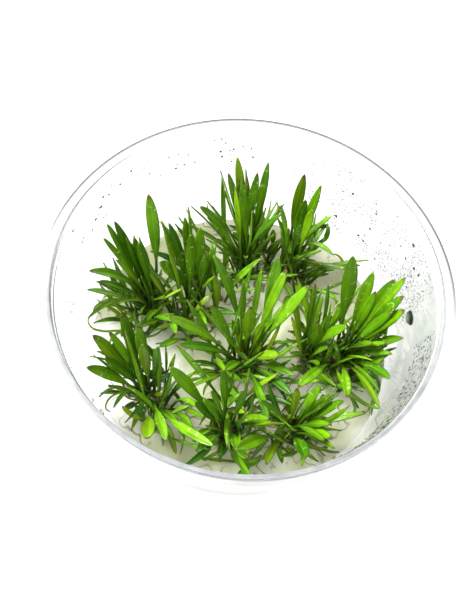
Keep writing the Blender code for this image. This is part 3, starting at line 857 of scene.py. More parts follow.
def stand_in_frame(place, leaf, feet, stations, corners):
    """The stand whose tip and blade edges lie on the node's own corners, of all that the frame can have."""
    stands = []
    half = blade_width(np.array(stations), leaf.width)[:, None] / 2
    for turn, tilt in TIP_SHIFTS:
        moved = leaf._replace(azimuth=leaf.azimuth + turn, lean=max(leaf.lean + tilt, 0))
        if misses(stand_at(place, moved, 0, feet[0]).tip[None], corners)[0] > TIP_MATCH:
            continue
        for foot_turn in FOOT_TURNS:
            for foot in feet:
                stand = stand_at(place, moved, foot_turn, foot)
                centre, heading = midline(stand, stations)
                across = unit(stand.across - (heading @ stand.across)[:, None] * heading)
                edges = np.vstack((centre - across * half, centre + across * half))
                stands.append((misses(edges, corners).sum(), stand))
    if not stands:
        raise ValueError(f"{leaf} has no tip in the frame")
    miss, best = min(stands, key=lambda pair: pair[0])
    if miss > EDGE_MATCH * len(stations):
        raise ValueError(f"{leaf} isn't in the frame: its edges are {miss} off")
    return best


# Leaves


def leaf_rows():
    """Shares of the length from foot to tip, closer together towards the tip."""
    t = np.linspace(0, 1, BLADE_ROWS + 1)[:-1]
    return 0.5 * (t + np.sin(t * math.pi / 2))


def blade_surface(centre, heading, across, u, tip, look, thickness):
    """A leaf along its midline. Each row is a closed section in the plane across the heading.

    Over s from -1 to 1 across the blade, the section is half the width times s wide. Its height is a
    flattened ellipse, plus a fold that lowers the middle, a rib under it, a groove over it, margins
    that wave along the length, and a hollow that grows with s squared. The whole section turns about the
    midline by the look's turn times the square of the share of the length.
    """
    along = np.broadcast_to(across, heading.shape)
    across = unit(across - np.einsum("ij,ij->i", along, heading)[:, None] * heading)
    face = np.cross(across, heading)
    turned = (look.turn * np.clip(u, 0, 1) ** 2)[:, None]
    across, face = (across * np.cos(turned) + face * np.sin(turned),
                    face * np.cos(turned) - across * np.sin(turned))
    s, side = RING_ACROSS, RING_SIDE
    u = u[:, None]
    blade = smooth_step(u, PETIOLE_SHARE * 0.8, PETIOLE_SHARE * 1.5)
    petiole = min(PETIOLE_WIDTH, 0.35 + 0.32 * look.width)
    width = (blade_width(np.maximum(u, 0), look.width, look.rise, look.fall, petiole)
             * (1 + 0.9 * smooth_step(-u, 0, SHEATH_SHARE)))
    half = width / 2
    thick = 0.85 * petiole + (thickness - 0.85 * petiole) * blade
    power = 2 + 4 * blade
    body = 0.5 * thick * np.sqrt(1 - np.abs(s) ** power) * side
    rib = -RIB_DEPTH * (1.1 - u) * blade * np.exp(-((s / RIB_WIDTH) ** 2)) * (side < 0)
    groove = -GROOVE_DEPTH * blade * np.exp(-((s / GROOVE_WIDTH) ** 2)) * (side > 0)
    fold = -FOLD_DEPTH * (half - PETIOLE_WIDTH / 2) * (1 - np.abs(s) ** 1.5)
    margin = look.wave * half * s**2 * np.sin(FULL_TURN * look.waves * u + look.phase + np.sign(s) * 1.3)
    hollow = look.cup * half * (s**2 - 0.3)
    rise = body + rib + groove + (fold + margin + hollow) * blade
    rings = centre[:, None] + across[:, None] * (half * s)[..., None] + face[:, None] * rise[..., None]
    layers = {
        "across": np.broadcast_to(s, half.shape[:1] + s.shape),
        "along": np.clip(u, 0, 1),
        "under": (side < 0).astype(float),
        "tone": look.tone,
        "yellow": look.yellow,
        "base": 1 - smooth_step(u, -0.02, 0.16),
    }
    return capped_tube(rings, centre[0] - heading[0] * 0.1, tip, layers)


def standing_leaf(place, stand, look, thickness, sheathed=False):
    """A leaf along its stand's midline, which a look's hook bends over from the middle to the tip.

    A sheathed leaf also gets a curved petiole base: a Hermite curve from inside the crown, rising, to the
    leaf's foot and its heading there.
    """
    u = leaf_rows()
    centre, heading = midline(stand, u)
    tip = stand.tip
    if look.hook:
        face = np.cross(stand.across, stand.tip - stand.foot)
        bend = smooth_step(np.append(u, 1), 0.5, 1.6)[:, None]
        path = np.vstack((centre, tip)) - look.hook * face * bend
        centre, tip = path[:-1], path[-1]
        heading = unit(np.gradient(path, axis=0))[:-1]
    if sheathed:
        crown = over_gel(place)
        away = stand.foot - crown
        root = crown + (0.35 * away[0], 0.35 * away[1], -0.5)
        reach = np.linalg.norm(stand.foot - root)
        v = np.linspace(0, 1, SHEATH_ROWS + 1)[:-1, None]
        rise = unit(np.array((away[0], away[1], 3.0))) * reach
        sheath, slope = hermite(v, root, rise, stand.foot, heading[0] * reach)
        centre = np.vstack((sheath, centre))
        heading = np.vstack((unit(slope), heading))
        u = np.concatenate((SHEATH_SHARE * (v[:, 0] - 1), u))
    return blade_surface(centre, heading, stand.across, u, tip, look, thickness)


def bent_leaf(place, bent, look, thickness, slide):
    """A bent leaf's midline is a chain of Hermite curves through its points, each raised by the slide.

    The curves' slopes at the points follow the points on either side, by their distances.
    """
    points = [sight(x, y, height + (slide if height > 0 else 0)) for x, y, height in bent.points]
    if bent.points[0][2] > 0:
        points.insert(0, over_gel(place, BENT_START))
    points = np.array(points)
    reach = np.concatenate(((0.0,), np.cumsum(np.linalg.norm(np.diff(points, axis=0), axis=1))))
    reach /= reach[-1]
    slopes = np.gradient(points, reach, axis=0)
    u = np.linspace(0, 1, BENT_ROWS)
    leg = np.clip(np.searchsorted(reach, u, side="right") - 1, 0, len(reach) - 2)
    long = (reach[leg + 1] - reach[leg])[:, None]
    v = (u - reach[leg])[:, None] / long
    centre, slope = hermite(v, points[leg], slopes[leg] * long, points[leg + 1], slopes[leg + 1] * long)
    heading = unit(slope)
    across = unit(np.cross(heading, (0.0, 0.0, 1.0)))
    rows = slice(0, -1)
    return blade_surface(centre[rows], heading[rows], across[rows], u[rows], centre[-1], look, thickness)


def bent_leaves(name, rng, thickness):
    """A plant's bent leaves, each slid along its lines of sight until it crosses no other, if it can be."""
    place = PLANTS[name].place
    grown = []
    for bent in BENT[name]:
        look = random_look(rng, bent.width, BENT_FREEDOM)
        look = look._replace(yellow=bent.yellow, **BENT_FORM)
        tries = (bent_leaf(place, bent, look, thickness, slide) for slide in BENT_SLIDES)
        surface = next((leaf for leaf in tries if not Foliage.crosses(leaf)), None)
        surface = surface or bent_leaf(place, bent, look, thickness, 0)
        Foliage.keep(surface)
        grown.append(surface)
    return grown


def random_look(rng, width, freedom=1.0):
    """A leaf's own small differences, drawn at random: the less its freedom, the more like the frame's."""
    draws = rng.uniform(0, 1, 10)
    return Look(
        width=width,
        tone=0.9 * draws[0],
        yellow=0.4 * draws[1] ** 6,
        wave=0.02 + 0.07 * draws[2],
        waves=1.5 + 2.5 * draws[3],
        phase=FULL_TURN * draws[4],
        cup=0.02 + (0.12 + 0.3 * freedom) * draws[5],
        rise=BLADE_RISE - 0.55 * freedom * draws[6],
        fall=BLADE_FALL + 0.45 * freedom * draws[7],
        turn=1.8 * freedom * (draws[8] - 0.5),
        hook=0.5 * max(freedom - 0.5, 0) * draws[9] ** 3,
    )


def blade_tree(surface):
    """A search tree of a leaf without its base, which all leaves of a crown share."""
    keep = surface.layers["along"][surface.quads].min(axis=1) > SHARED_BASE
    return BVHTree.FromPolygons(surface.points.tolist(), surface.quads[keep].tolist())


class Foliage:
    """The frame's leaves as surfaces, worked out once, and every leaf that others have to keep clear of.

    trees holds the corners of each leaf's box and its search tree.
    """

    large = {}
    small = {}
    trees = []

    @classmethod
    def grow(cls, thickness):
        if cls.large:
            return
        rng = np.random.default_rng(LEAF_SEED)
        for name, plant in PLANTS.items():
            crown_corners = node_corners(f"plant_{name}")
            cls.small[name] = []
            for number, leaf in enumerate(plant.leaves, start=1):
                node = f"leaf_{name}_{number}"
                is_large = number <= plant.large
                if is_large:
                    known = (LARGE_LEAF_FEET, LARGE_LEAF_STATIONS, node_corners(node))
                else:
                    known = (SMALL_LEAF_FEET, SMALL_LEAF_STATIONS, crown_corners)
                stand = stand_in_frame(plant.place, leaf, *known)
                look = random_look(rng, leaf.width, FRAME_FREEDOM)
                surface = standing_leaf(plant.place, stand, look, thickness, is_large)
                if is_large:
                    cls.large[node] = surface
                else:
                    cls.small[name].append(surface)
                cls.keep(surface)

    @classmethod
    def keep(cls, surface):
        """Add the leaf to those that no other may cross."""
        cls.trees.append((surface.points.min(axis=0), surface.points.max(axis=0), blade_tree(surface)))

    @classmethod
    def crosses(cls, surface):
        """Whether the leaf cuts another, the gel or the wall."""
        points = surface.points
        blade = surface.layers["along"] > SHARED_BASE
        off_axis = np.hypot(points[:, 0], points[:, 1])
        if (off_axis > wall_radius(points[:, 2]) - WALL_CLEARANCE).any():
            return True
        if points[blade, 2].min() < GEL_TOP + GEL_CLEARANCE:
            return True
        low, high = points.min(axis=0), points.max(axis=0)
        near = [tree for other_low, other_high, tree in cls.trees
                if (low < other_high).all() and (high > other_low).all()]
        if not near:
            return False
        tree = blade_tree(surface)
        return any(tree.overlap(other) for other in near)


def shoot_places(plant, rng):
    """The places of the side shoots round a crown, clear of the wall and of the other crowns."""
    places = []
    for _ in range(SHOOT_TRIES):
        angle, apart = rng.uniform(0, FULL_TURN), rng.uniform(*SHOOT_APART)
        place = np.array(plant.place) + apart * np.array((math.cos(angle), math.sin(angle)))
        others = [p.place for p in PLANTS.values()] + places
        nearest = min(np.linalg.norm(place - other) for other in others)
        if np.linalg.norm(place) < SHOOT_BOUND and nearest > CROWN_SPACING:
            places.append(place)
        if len(places) == SHOOTS:
            break
    return places


def crown_surface(place, rng, size=1.0):
    """A lumpy stem stub: rings whose radius follows the height and varies with three waves round it."""
    heights = np.linspace(-CROWN_DEPTH + 0.3, CROWN_HEIGHT, CROWN_ROWS)[:, None] * size
    angles = np.linspace(0, FULL_TURN, CROWN_SEGMENTS, endpoint=False)
    share = np.interp(heights / size, *zip(*CROWN_PROFILE))
    a, b, c = rng.uniform(0, FULL_TURN, 3)
    lumps = (1 + 0.07 * np.cos(3 * angles + a) + 0.06 * np.cos(5 * angles + b + heights)
             + 0.04 * np.cos(9 * angles + c))
    radius = CROWN_RADIUS * size * share * np.minimum(lumps, 1.1)
    rings = np.stack((place[0] + radius * np.cos(angles), place[1] + radius * np.sin(angles),
                      np.broadcast_to(GEL_TOP + heights, radius.shape)), axis=-1)
    first, last = over_gel(place, -CROWN_DEPTH * size), over_gel(place, CROWN_HEIGHT * size)
    layers = dict.fromkeys(("across", "along", "under"), 0.0)
    layers.update(tone=rng.uniform(0.2, 0.6), yellow=0.2, base=1.0)
    return capped_tube(rings, first, last, layers)


def first_free(place, leaf, feet, look, thickness):
    """The leaf with its foot in the first place of FOOT_TURNS and feet that leaves it clear, or None."""
    for foot_turn in FOOT_TURNS:
        for foot in feet:
            surface = standing_leaf(place, stand_at(place, leaf, foot_turn, foot), look, thickness)
            if not Foliage.crosses(surface):
                Foliage.keep(surface)
                return surface
    return None


def seen_leaf(seen, plant, shoots, rng, thickness):
    """A leaf to a tip that is seen, or None where no try leaves it clear of the others.

    It starts at the crown or a side shoot, and slides along its tip's line of sight, and its foot round
    where it starts, until it crosses no other leaf.
    """
    width = seen.width * SEEN_SHARE
    look = random_look(rng, width)
    for start in rng.permutation(len(shoots) + 1)[:3]:
        place, feet = (plant.place, YOUNG_LEAF_FEET) if start == 0 else (shoots[start - 1], SHOOT_FEET)
        for slide in HEIGHT_SLIDES:
            tip = sight(seen.x, seen.y, max(seen.height + slide, LOWEST_TIP))
            to_tip = tip - over_gel(place, READING_HEIGHT)
            length = np.linalg.norm(to_tip)
            lean = math.degrees(math.acos(to_tip[2] / length))
            if lean > STEEPEST_LEAN and seen.height > LOW_LEAF:
                continue
            azimuth = math.degrees(math.atan2(to_tip[1], to_tip[0]))
            leaf = Leaf(azimuth, lean, length, width, seen.arch, seen.sweep)
            surface = first_free(place, leaf, feet, look, thickness)
            if surface:
                return surface
    return None


def young_leaves(plant, shoots, rng, number, thickness):
    """Short leaves that fill the tuft, each tried at random until it crosses no other leaf."""
    grown = []
    for _ in range(number * TRIES_PER_LEAF):
        draws = rng.uniform(0, 1, 6)
        leaf = Leaf(
            azimuth=360 * draws[0],
            lean=62 * math.sqrt(draws[1]),
            length=6 + 16 * draws[2],
            width=0.7 + 1.4 * draws[3],
            arch=0.02 + 0.16 * draws[4],
            sweep=0.24 * (draws[5] - 0.5),
        )
        start = rng.integers(len(shoots) + 2)
        place, feet = (shoots[start], SHOOT_FEET) if start < len(shoots) else (plant.place, YOUNG_LEAF_FEET)
        stand = stand_at(place, leaf, rng.uniform(-70, 70), feet[rng.integers(len(feet))])
        surface = standing_leaf(place, stand, random_look(rng, leaf.width), thickness)
        if not Foliage.crosses(surface):
            Foliage.keep(surface)
            grown.append(surface)
        if len(grown) == number:
            break
    return grown


def root_surface(place, rng):
    """A root that wanders out from the crown, half sunk in the gel: a tube that thins to its end.

    Its heading is its first direction plus a steady turn and a slow wave, and its midline is the running
    sum of steps along the heading.
    """
    u = np.linspace(0, 1, ROOT_ROWS)
    length = rng.uniform(*ROOT_LENGTHS)
    wander = rng.uniform(-0.9, 0.9) * u + 0.35 * np.sin(rng.uniform(5, 9) * u + rng.uniform(0, 6))
    angle = rng.uniform(0, FULL_TURN) + wander
    steps = np.stack((np.cos(angle), np.sin(angle)), axis=-1) * length / ROOT_ROWS
    plan = np.array(place) + 1.7 * unit(steps[0]) + np.cumsum(steps, axis=0)
    inside = wall_radius(GEL_TOP) - ROOT_WALL_GAP
    plan *= np.minimum(1, inside / np.linalg.norm(plan, axis=1))[:, None]
    height = GEL_TOP + 0.35 * (1 - u) ** 2 + 0.05 * np.sin(11 * u) - rng.uniform(0.0, 0.5) * u**2
    centre = np.column_stack((plan, height))
    radius = rng.uniform(*ROOT_RADII) * (1 - 0.75 * u)[:, None]
    heading = unit(np.gradient(centre, axis=0))
    aside = unit(np.cross(heading, (0.0, 0.0, 1.0)))
    above = np.cross(aside, heading)
    turn = np.linspace(0, FULL_TURN, ROOT_SIDES, endpoint=False)
    rings = (centre[:, None] + (radius * np.cos(turn))[..., None] * aside[:, None]
             + (radius * np.sin(turn))[..., None] * above[:, None])
    first = centre[0] - 0.1 * heading[0]
    last = centre[-1] + 0.1 * heading[-1]
    return capped_tube(rings, first, last, {"along": u[:, None]})


# The cup, the gel and the drops


def ring_corners(ring, base):
    """The corners of a low ring that stands on a flat face at the base's height."""
    side = math.copysign(ring.side, ring.end - ring.start)
    top = base + ring.height
    return [
        (ring.start, base, 0),
        (ring.start + side, top, ring.softness),
        (ring.end - side, top, ring.softness),
        (ring.end, base, 0),
    ]


def cup_surface():
    """The clear cup: a profile of rounded corners turned about the axis.

    The profile runs along the inside, from the floor up the tapered wall, over the step, the mouth and the
    flange, then down the outside and in along the foot.
    """
    under = CUP_HEIGHT - FLANGE_THICKNESS
    profile = softened([
        (0.0, FLOOR),
        *ring_corners(FLOOR_RING, FLOOR),
        (wall_radius(FLOOR), FLOOR, CORNER_RADIUS),
        (STEP_RADIUS, STEP_HEIGHT - 0.1, 0.5),
        (MOUTH_RADIUS, STEP_HEIGHT + 0.7, 0.5),
        (MOUTH_RADIUS, CUP_HEIGHT, 0.35),
        (FLANGE_RADIUS - EDGE_WIDTH, CUP_HEIGHT, 0),
        (FLANGE_RADIUS, CUP_HEIGHT, 0.3),
        (FLANGE_RADIUS, under, 0.3),
        (FLANGE_RADIUS - EDGE_WIDTH, under, 0),
        (MOUTH_RADIUS + WALL, under, 0.3),
        (MOUTH_RADIUS + WALL, STEP_HEIGHT, 0.3),
        (STEP_RADIUS + WALL, STEP_HEIGHT - 0.5, 0.3),
        (wall_radius(0.0) + WALL, 0.0, CORNER_RADIUS + WALL),
        *ring_corners(FOOT_GROOVE, 0.0),
        *ring_corners(GATE_MARK, 0.0),
        (0.0, 0.0),
    ])
    return lathe(profile, CUP_SEGMENTS)


def gel_top(x, y):
    """Height of the gel's surface: slow waves, a rise round each crown and a meniscus at the wall."""
    waves = 0.05 * np.sin(0.21 * x + 0.6) * np.cos(0.17 * y - 0.4) + 0.03 * np.sin(0.5 * x - 0.33 * y)
    height = GEL_TOP + waves
    for plant in PLANTS.values():
        apart = (x - plant.place[0]) ** 2 + (y - plant.place[1]) ** 2
        height += CROWN_SWELL * np.exp(-apart / SWELL_WIDTH**2)
    to_wall = GEL_LINE_RADIUS - np.hypot(x, y)
    return height + MENISCUS_HEIGHT * np.exp(-np.maximum(to_wall, 0) / (0.35 * MENISCUS_WIDTH))


def gel_surface():
    """The poured disc, turned from its profile, with its upper rings raised to gel_top."""
    lip = GEL_TOP + MENISCUS_HEIGHT
    lip_radius = wall_radius(lip) - GEL_GAP
    bottom = FLOOR + GEL_GAP
    upper = np.concatenate((np.linspace(1.2, lip_radius - MENISCUS_WIDTH, 34),
                            np.linspace(lip_radius - MENISCUS_WIDTH + 0.4, lip_radius, 9)))
    lower = softened([
        (lip_radius, lip - 0.6),
        (lip_radius - 0.1, lip - 0.7, 0),
        (wall_radius(FLOOR) - GEL_GAP, bottom, CORNER_RADIUS),
        (30.0, bottom, 0),
        (0.0, bottom),
    ])

    def raised(rings):
        """The rings with the upper ones at gel_top, or a pole alone, likewise if it is the upper one."""
        count = len(upper) if len(rings) > 1 else int(rings[0, 0, 2] > GEL_TOP - 1)
        rings = rings.copy()
        rings[:count, :, 2] = gel_top(rings[:count, :, 0], rings[:count, :, 1])
        return rings

    profile = np.vstack(((0.0, GEL_TOP), np.column_stack((upper, np.full(len(upper), GEL_TOP))), lower))
    return lathe(profile, GEL_SEGMENTS, raised)


def drop_surfaces(azimuth, height, size, sides, rows):
    """Domes of water on the wall, all at once. Each is a flat-based cap of a slightly uneven round outline.

    A point of a dome is its centre on the wall, plus the outline's radius in the wall's two directions,
    plus a height off the wall that falls with the cosine from the middle to the edge.
    """
    a = np.radians(azimuth)
    slope = (STEP_RADIUS - GEL_LINE_RADIUS) / (STEP_HEIGHT - GEL_TOP)
    radius = wall_radius(height)
    centre = np.stack((radius * np.cos(a), radius * np.sin(a), height), axis=-1)
    round_wall = np.stack((-np.sin(a), np.cos(a), np.zeros(len(a))), axis=-1)
    up_wall = unit(np.stack((slope * np.cos(a), slope * np.sin(a), np.ones(len(a))), axis=-1))
    inwards = unit(np.stack((-np.cos(a), -np.sin(a), np.full(len(a), slope)), axis=-1))
    turn = np.linspace(0, FULL_TURN, sides, endpoint=False)
    lean = np.linspace(math.pi / 2, 0, rows + 1)[:-1]
    outline = 1 + 0.14 * np.cos(2 * turn + 9 * a[:, None]) + 0.08 * np.cos(3 * turn + 31 * a[:, None])
    outer = size[:, None, None] / 2 * outline[:, None] * np.sin(lean)[:, None]
    aside, along = outer * np.cos(turn), outer * np.sin(turn)
    off = DROP_RISE * size[:, None, None] * np.cos(lean)[:, None] + 0 * turn - DROP_SINK
    rings = (centre[:, None, None] + aside[..., None] * round_wall[:, None, None]
             + along[..., None] * up_wall[:, None, None] + off[..., None] * inwards[:, None, None])
    crest = centre + (DROP_RISE * size[:, None] - DROP_SINK) * inwards
    back = centre - DROP_SINK * inwards
    return joined([capped_tube(rings[i], back[i], crest[i], {}) for i in range(len(a))])


def fog_places(rng, number):
    """Places of fine fog on the right of the wall, thicker and thinner by a product of slow waves."""
    tries = number * 4
    azimuth = rng.uniform(*FOG_AZIMUTHS, tries)
    height = rng.uniform(*FOG_HEIGHTS, tries)
    thick = 0.6 + 0.4 * np.sin(0.33 * azimuth + 0.21 * height) * np.sin(0.31 * height - 0.17 * azimuth + 1.1)
    edge = smooth_step(azimuth, 2, 20) * (1 - smooth_step(azimuth, 58, 92)) * smooth_step(height, 18, 28)
    keep = rng.uniform(0, 1, tries) < thick * edge * 1.3
    return azimuth[keep][:number], height[keep][:number]


# Materials


class Shader:
    """A material's node tree round its Principled shader, with short ways to add and join nodes."""

    def __init__(self, name, **sockets):
        self.material = bpy.data.materials.new(name)
        self.material.use_nodes = True
        self.tree = self.material.node_tree
        self.principled = self.tree.nodes["Principled BSDF"]
        for socket, value in sockets.items():
            self.principled.inputs[socket.replace("_", " ")].default_value = value

    def node(self, kind, inputs=(), **settings):
        """A node of the kind, whose inputs are given as (name or number, value or output to join)."""
        made = self.tree.nodes.new(f"ShaderNode{kind}")
        for setting, value in settings.items():
            setattr(made, setting, value)
        for socket, value in dict(inputs).items():
            if isinstance(value, bpy.types.NodeSocket):
                self.tree.links.new(value, made.inputs[socket])
            else:
                made.inputs[socket].default_value = value
        return made

    @cached_property
    def place(self):
        """Each point's place on its object, in metres."""
        return self.node("TexCoord").outputs["Object"]

    def axes(self):
        """The x, y and z of the place."""
        return tuple(self.node("SeparateXYZ", {"Vector": self.place}).outputs)

    def layer(self, name):
        """A value that the mesh holds for each of its points."""
        return self.node("Attribute", attribute_name=name).outputs["Fac"]

    def noise(self, scale, detail=3.0):
        """A soft random value from 0 to 1, with scale lumps to the metre."""
        return self.node("TexNoise", {"Vector": self.place, "Scale": scale, "Detail": detail}).outputs["Fac"]

    def ramp(self, value, low, high, to_low=0.0, to_high=1.0, smooth=False):
        """The value's way from low to high, as a number from to_low to to_high and never outside them."""
        inputs = {"Value": value, "From Min": low, "From Max": high, "To Min": to_low, "To Max": to_high}
        kind = "SMOOTHSTEP" if smooth else "LINEAR"
        return self.node("MapRange", inputs, interpolation_type=kind).outputs["Result"]

    def span(self, distance, low, high, smooth=True):
        """A ramp over a distance, between two numbers of millimetres."""
        return self.ramp(distance, low * MM, high * MM, smooth=smooth)

    def math(self, operation, first, second=0.0):
        return self.node("Math", {0: first, 1: second}, operation=operation).outputs[0]

    def times(self, first, *others):
        """The product of all the values."""
        for other in others:
            first = self.math("MULTIPLY", first, other)
        return first

    def most(self, first, *others):
        """The largest of the values."""
        for other in others:
            first = self.math("MAXIMUM", first, other)
        return first

    def coats(self, ground, *coats):
        """A colour under coats of (amount, colour), each mixed over the ones before by its amount.

        A colour is an output or three numbers.
        """
        for amount, coat in coats:
            ground, coat = [c if isinstance(c, bpy.types.NodeSocket) else (*c, 1.0) for c in (ground, coat)]
            inputs = {"Factor": amount, "A": ground, "B": coat}
            ground = self.node("Mix", inputs, data_type="RGBA").outputs["Result"]
        return ground

    def give(self, socket, value):
        self.tree.links.new(value, self.principled.inputs[socket])

    def bump(self, height, strength, depth_mm):
        inputs = {"Height": height, "Strength": strength, "Distance": depth_mm * MM}
        self.give("Normal", self.node("Bump", inputs).outputs["Normal"])


class Plastic(Shader):
    """Moulded clear plastic with a faint ripple, and patches where handling has dulled its shine."""

    def __init__(self, name):
        super().__init__(name, IOR=1.49, Transmission_Weight=1.0)
        self.worn = self.ramp(self.noise(240, 5), 0.45, 0.75, 0.01, 0.06)
        self.bump(self.noise(70, 2), 0.12, 0.12)


def clear_plastic(settings):
    """The cup's plastic, with a haze of the finest drops on the right of the wall."""
    s = Plastic("clear moulded plastic")
    x, y, z = s.axes()
    haze = s.times(
        s.span(x, 22, 40),
        s.span(y, 30, 2),
        s.span(z, 12, 22),
        s.span(z, 46.6, 45.8, smooth=False),
        s.ramp(s.noise(140, 4), 0.3, 0.65, 0.45, 1.0),
    )
    s.give("Base Color", s.coats(settings.colour, (haze, HAZE)))
    s.give("Roughness", s.worn)
    return s.material


def shaded_rim_plastic(settings):
    """The rim's plastic: painted grey shade round the mouth, most at the front, and along the edge painted
    dark behind, pale in front.
    """
    s = Plastic("rubbed plastic")
    x, y, z = s.axes()
    level = s.node("CombineXYZ", {"X": x, "Y": y}).outputs["Vector"]
    reach = s.node("VectorMath", {0: level}, operation="LENGTH").outputs["Value"]
    front = s.span(y, 18, -22)
    edge = s.span(reach, FLANGE_RADIUS - 0.62, FLANGE_RADIUS - 0.42)
    mouth = s.times(
        s.span(reach, MOUTH_RADIUS - 0.15, MOUTH_RADIUS + 0.05),
        s.span(reach, MOUTH_RADIUS + WALL + 0.3, MOUTH_RADIUS + WALL - 0.1),
        s.span(z, STEP_HEIGHT + 0.6, STEP_HEIGHT + 1.1, smooth=False),
        s.ramp(front, 0.0, 1.0, 0.2, 1.0),
    )
    ledge = s.times(
        s.span(reach, STEP_RADIUS - 0.1, STEP_RADIUS + 0.2),
        s.span(reach, MOUTH_RADIUS + 0.3, MOUTH_RADIUS - 0.1, smooth=False),
    )
    # Painted shade: grey streaks round the mouth
    shade_streaks = s.coats(MOUTH_SHADE_DARK, (s.ramp(s.noise(300, 4), 0.35, 0.68), MOUTH_SHADE_PALE))
    # Painted shade and light on the edge: dark behind, pale in front
    edge_shade_and_light = s.coats(EDGE_SHADE_BEHIND, (front, EDGE_LIGHT_IN_FRONT))
    s.give("Base Color", s.coats(settings.colour, (mouth, shade_streaks), (edge, edge_shade_and_light)))
    s.give("Roughness", s.math("ADD", s.worn, s.times(s.most(mouth, edge), 0.35)))
    # Where the painted shade and light show, and on the step, the plastic lets less light through
    painted_cover = s.most(mouth, s.times(edge, front), s.times(ledge, 0.5))
    s.give("Transmission Weight", s.ramp(painted_cover, 0.0, 1.0, 1.0, 0.35))
    return s.material


def rim_faces(mesh):
    """1 for each face of the cup's rim, from the step inside the mouth upwards, and 0 for the others."""
    centres = np.empty(len(mesh.polygons) * 3)
    mesh.polygons.foreach_get("center", centres)
    x, y, z = centres.reshape(-1, 3).T / MM
    rim = (z > STEP_HEIGHT - 0.65) & (np.hypot(x, y) > STEP_RADIUS - 0.2)
    return rim.astype(np.int32)


def agar(settings):
    """Cloudy wet gel, cream with paler clouds and painted crease shade, and at the front left a painted pool
    of light that is nearly white and glows.
    """
    s = Shader("cloudy agar gel", IOR=1.34, Transmission_Weight=settings.clearness, Subsurface_Weight=0.7,
               Subsurface_Scale=5 * MM, Subsurface_Radius=(1.0, 1.0, 0.7), Emission_Strength=0.4)
    cloud = s.ramp(s.noise(55, 4), 0.35, 0.7, smooth=True)
    fold = s.math("ABSOLUTE", s.math("SUBTRACT", s.noise(95, 2), 0.5))
    # Painted shade in thin crease lines
    crease_shade = s.times(s.ramp(fold, 0.02, 0.0, smooth=True), s.ramp(s.noise(60, 2), 0.40, 0.55))
    bits = s.times(s.ramp(s.noise(420, 3), 0.62, 0.68), s.ramp(s.noise(45, 2), 0.48, 0.62))
    offset = s.node("VectorMath", {0: s.place, 1: GLOW_PLACE}, operation="DISTANCE").outputs["Value"]
    wander = s.ramp(s.noise(80, 3), 0.0, 1.0, -0.007, 0.007)
    # Painted light: a nearly white pool at the front left, which also glows
    glow = s.span(s.math("ADD", offset, wander), 19, 10)
    s.give("Base Color", s.coats(settings.colour, (cloud, GEL_CLOUD), (crease_shade, GEL_CREASE_SHADE), (bits, GEL_BITS),
                                 (glow, GEL_LIT)))
    s.give("Emission Color", s.coats(BLACK, (glow, GEL_GLOW)))
    s.give("Roughness", s.ramp(s.noise(400, 3), 0.3, 0.7, 0.06, 0.22))
    s.bump(s.noise(160, 3), 0.25, 0.25)
    return s.material


def plant_tissue(settings):
    """Glossy leaf: paler rib, fine lines along the blade, blotches, yellowing and pale bases; painted shade
    on the margins and on one half of the blade, a darker stalk that is partly painted shade, and painted
    glints.

    The layers on the mesh say where each point is on its leaf, and the leaf's own tone.
    """
    s = Shader("plant tissue", IOR=1.4, Specular_IOR_Level=0.25, Coat_Weight=0.2, Coat_Roughness=0.15,
               Subsurface_Weight=0.10, Subsurface_Scale=0.8 * MM, Subsurface_Radius=(0.5, 1.0, 0.08))
    across, along, tone = s.layer("across"), s.layer("along"), s.layer("tone")
    aside = s.math("ABSOLUTE", across)
    blotches = s.ramp(s.noise(330, 4), 0.4, 0.72, 0.0, 0.5, smooth=True)
    clearings = s.ramp(s.noise(130, 2), 0.45, 0.75, 0.0, 0.5, smooth=True)
    lines = s.ramp(s.math("SINE", s.times(across, 26.0)), -1, 1, 0.0, 0.26)
    rib = s.times(s.ramp(aside, 0.17, 0.03, 0.0, 0.5, smooth=True), s.ramp(along, 1.0, 0.4, 0.15, 1.0))
    # Painted shade on one half of each blade, most on the deepest leaves
    shaded_half = s.times(s.ramp(across, -0.1, 0.1), s.ramp(tone, 0.0, 1.0, 0.5, 0.1))
    # Painted glints: pale specks in patches
    glint_specks = s.times(s.ramp(s.noise(900, 2), 0.62, 0.7), s.ramp(s.noise(120, 2), 0.45, 0.6, 0.0, 0.6))
    some_leaves = s.ramp(s.noise(60, 2), 0.42, 0.55, 0.0, 0.95)
    burnt_tip = s.times(s.ramp(along, 0.945, 0.98, smooth=True), some_leaves)
    green = s.coats(
        settings.deep_colour,
        (tone, settings.fresh_colour),
        (blotches, settings.deep_colour),
        (clearings, settings.fresh_colour),
        (lines, LEAF_LINES),
        (rib, settings.rib_colour),
        (s.times(s.layer("under"), 0.3), LEAF_UNDER),
        (s.layer("yellow"), LEAF_YELLOW),
        # Painted shade along the margins
        (s.ramp(aside, 0.72, 1.0, 0.0, 0.6), LEAF_MARGIN_SHADE),
        (shaded_half, LEAF_HALF_SHADE),
        (glint_specks, LEAF_GLINTS),
        # Darker towards the stalk: its own deep green, and painted shade down in the tuft
        (s.ramp(along, 0.62, 0.2, 0.0, 0.72, smooth=True), LEAF_STALK_AND_SHADE),
        (burnt_tip, LEAF_TIP),
    )
    stains = s.ramp(s.noise(500, 4), 0.4, 0.65, smooth=True)
    base = s.coats(settings.base_colour, (stains, BASE_STAINS))
    s.give("Base Color", s.coats(green, (s.layer("base"), base)))
    s.give("Roughness", s.ramp(s.noise(600, 3), 0.3, 0.7, 0.28, 0.45))
    veins = s.times(s.math("SINE", s.times(across, 34.0)), 0.4)
    s.bump(s.math("ADD", veins, s.noise(900, 3)), 0.3, 0.06)
    return s.material


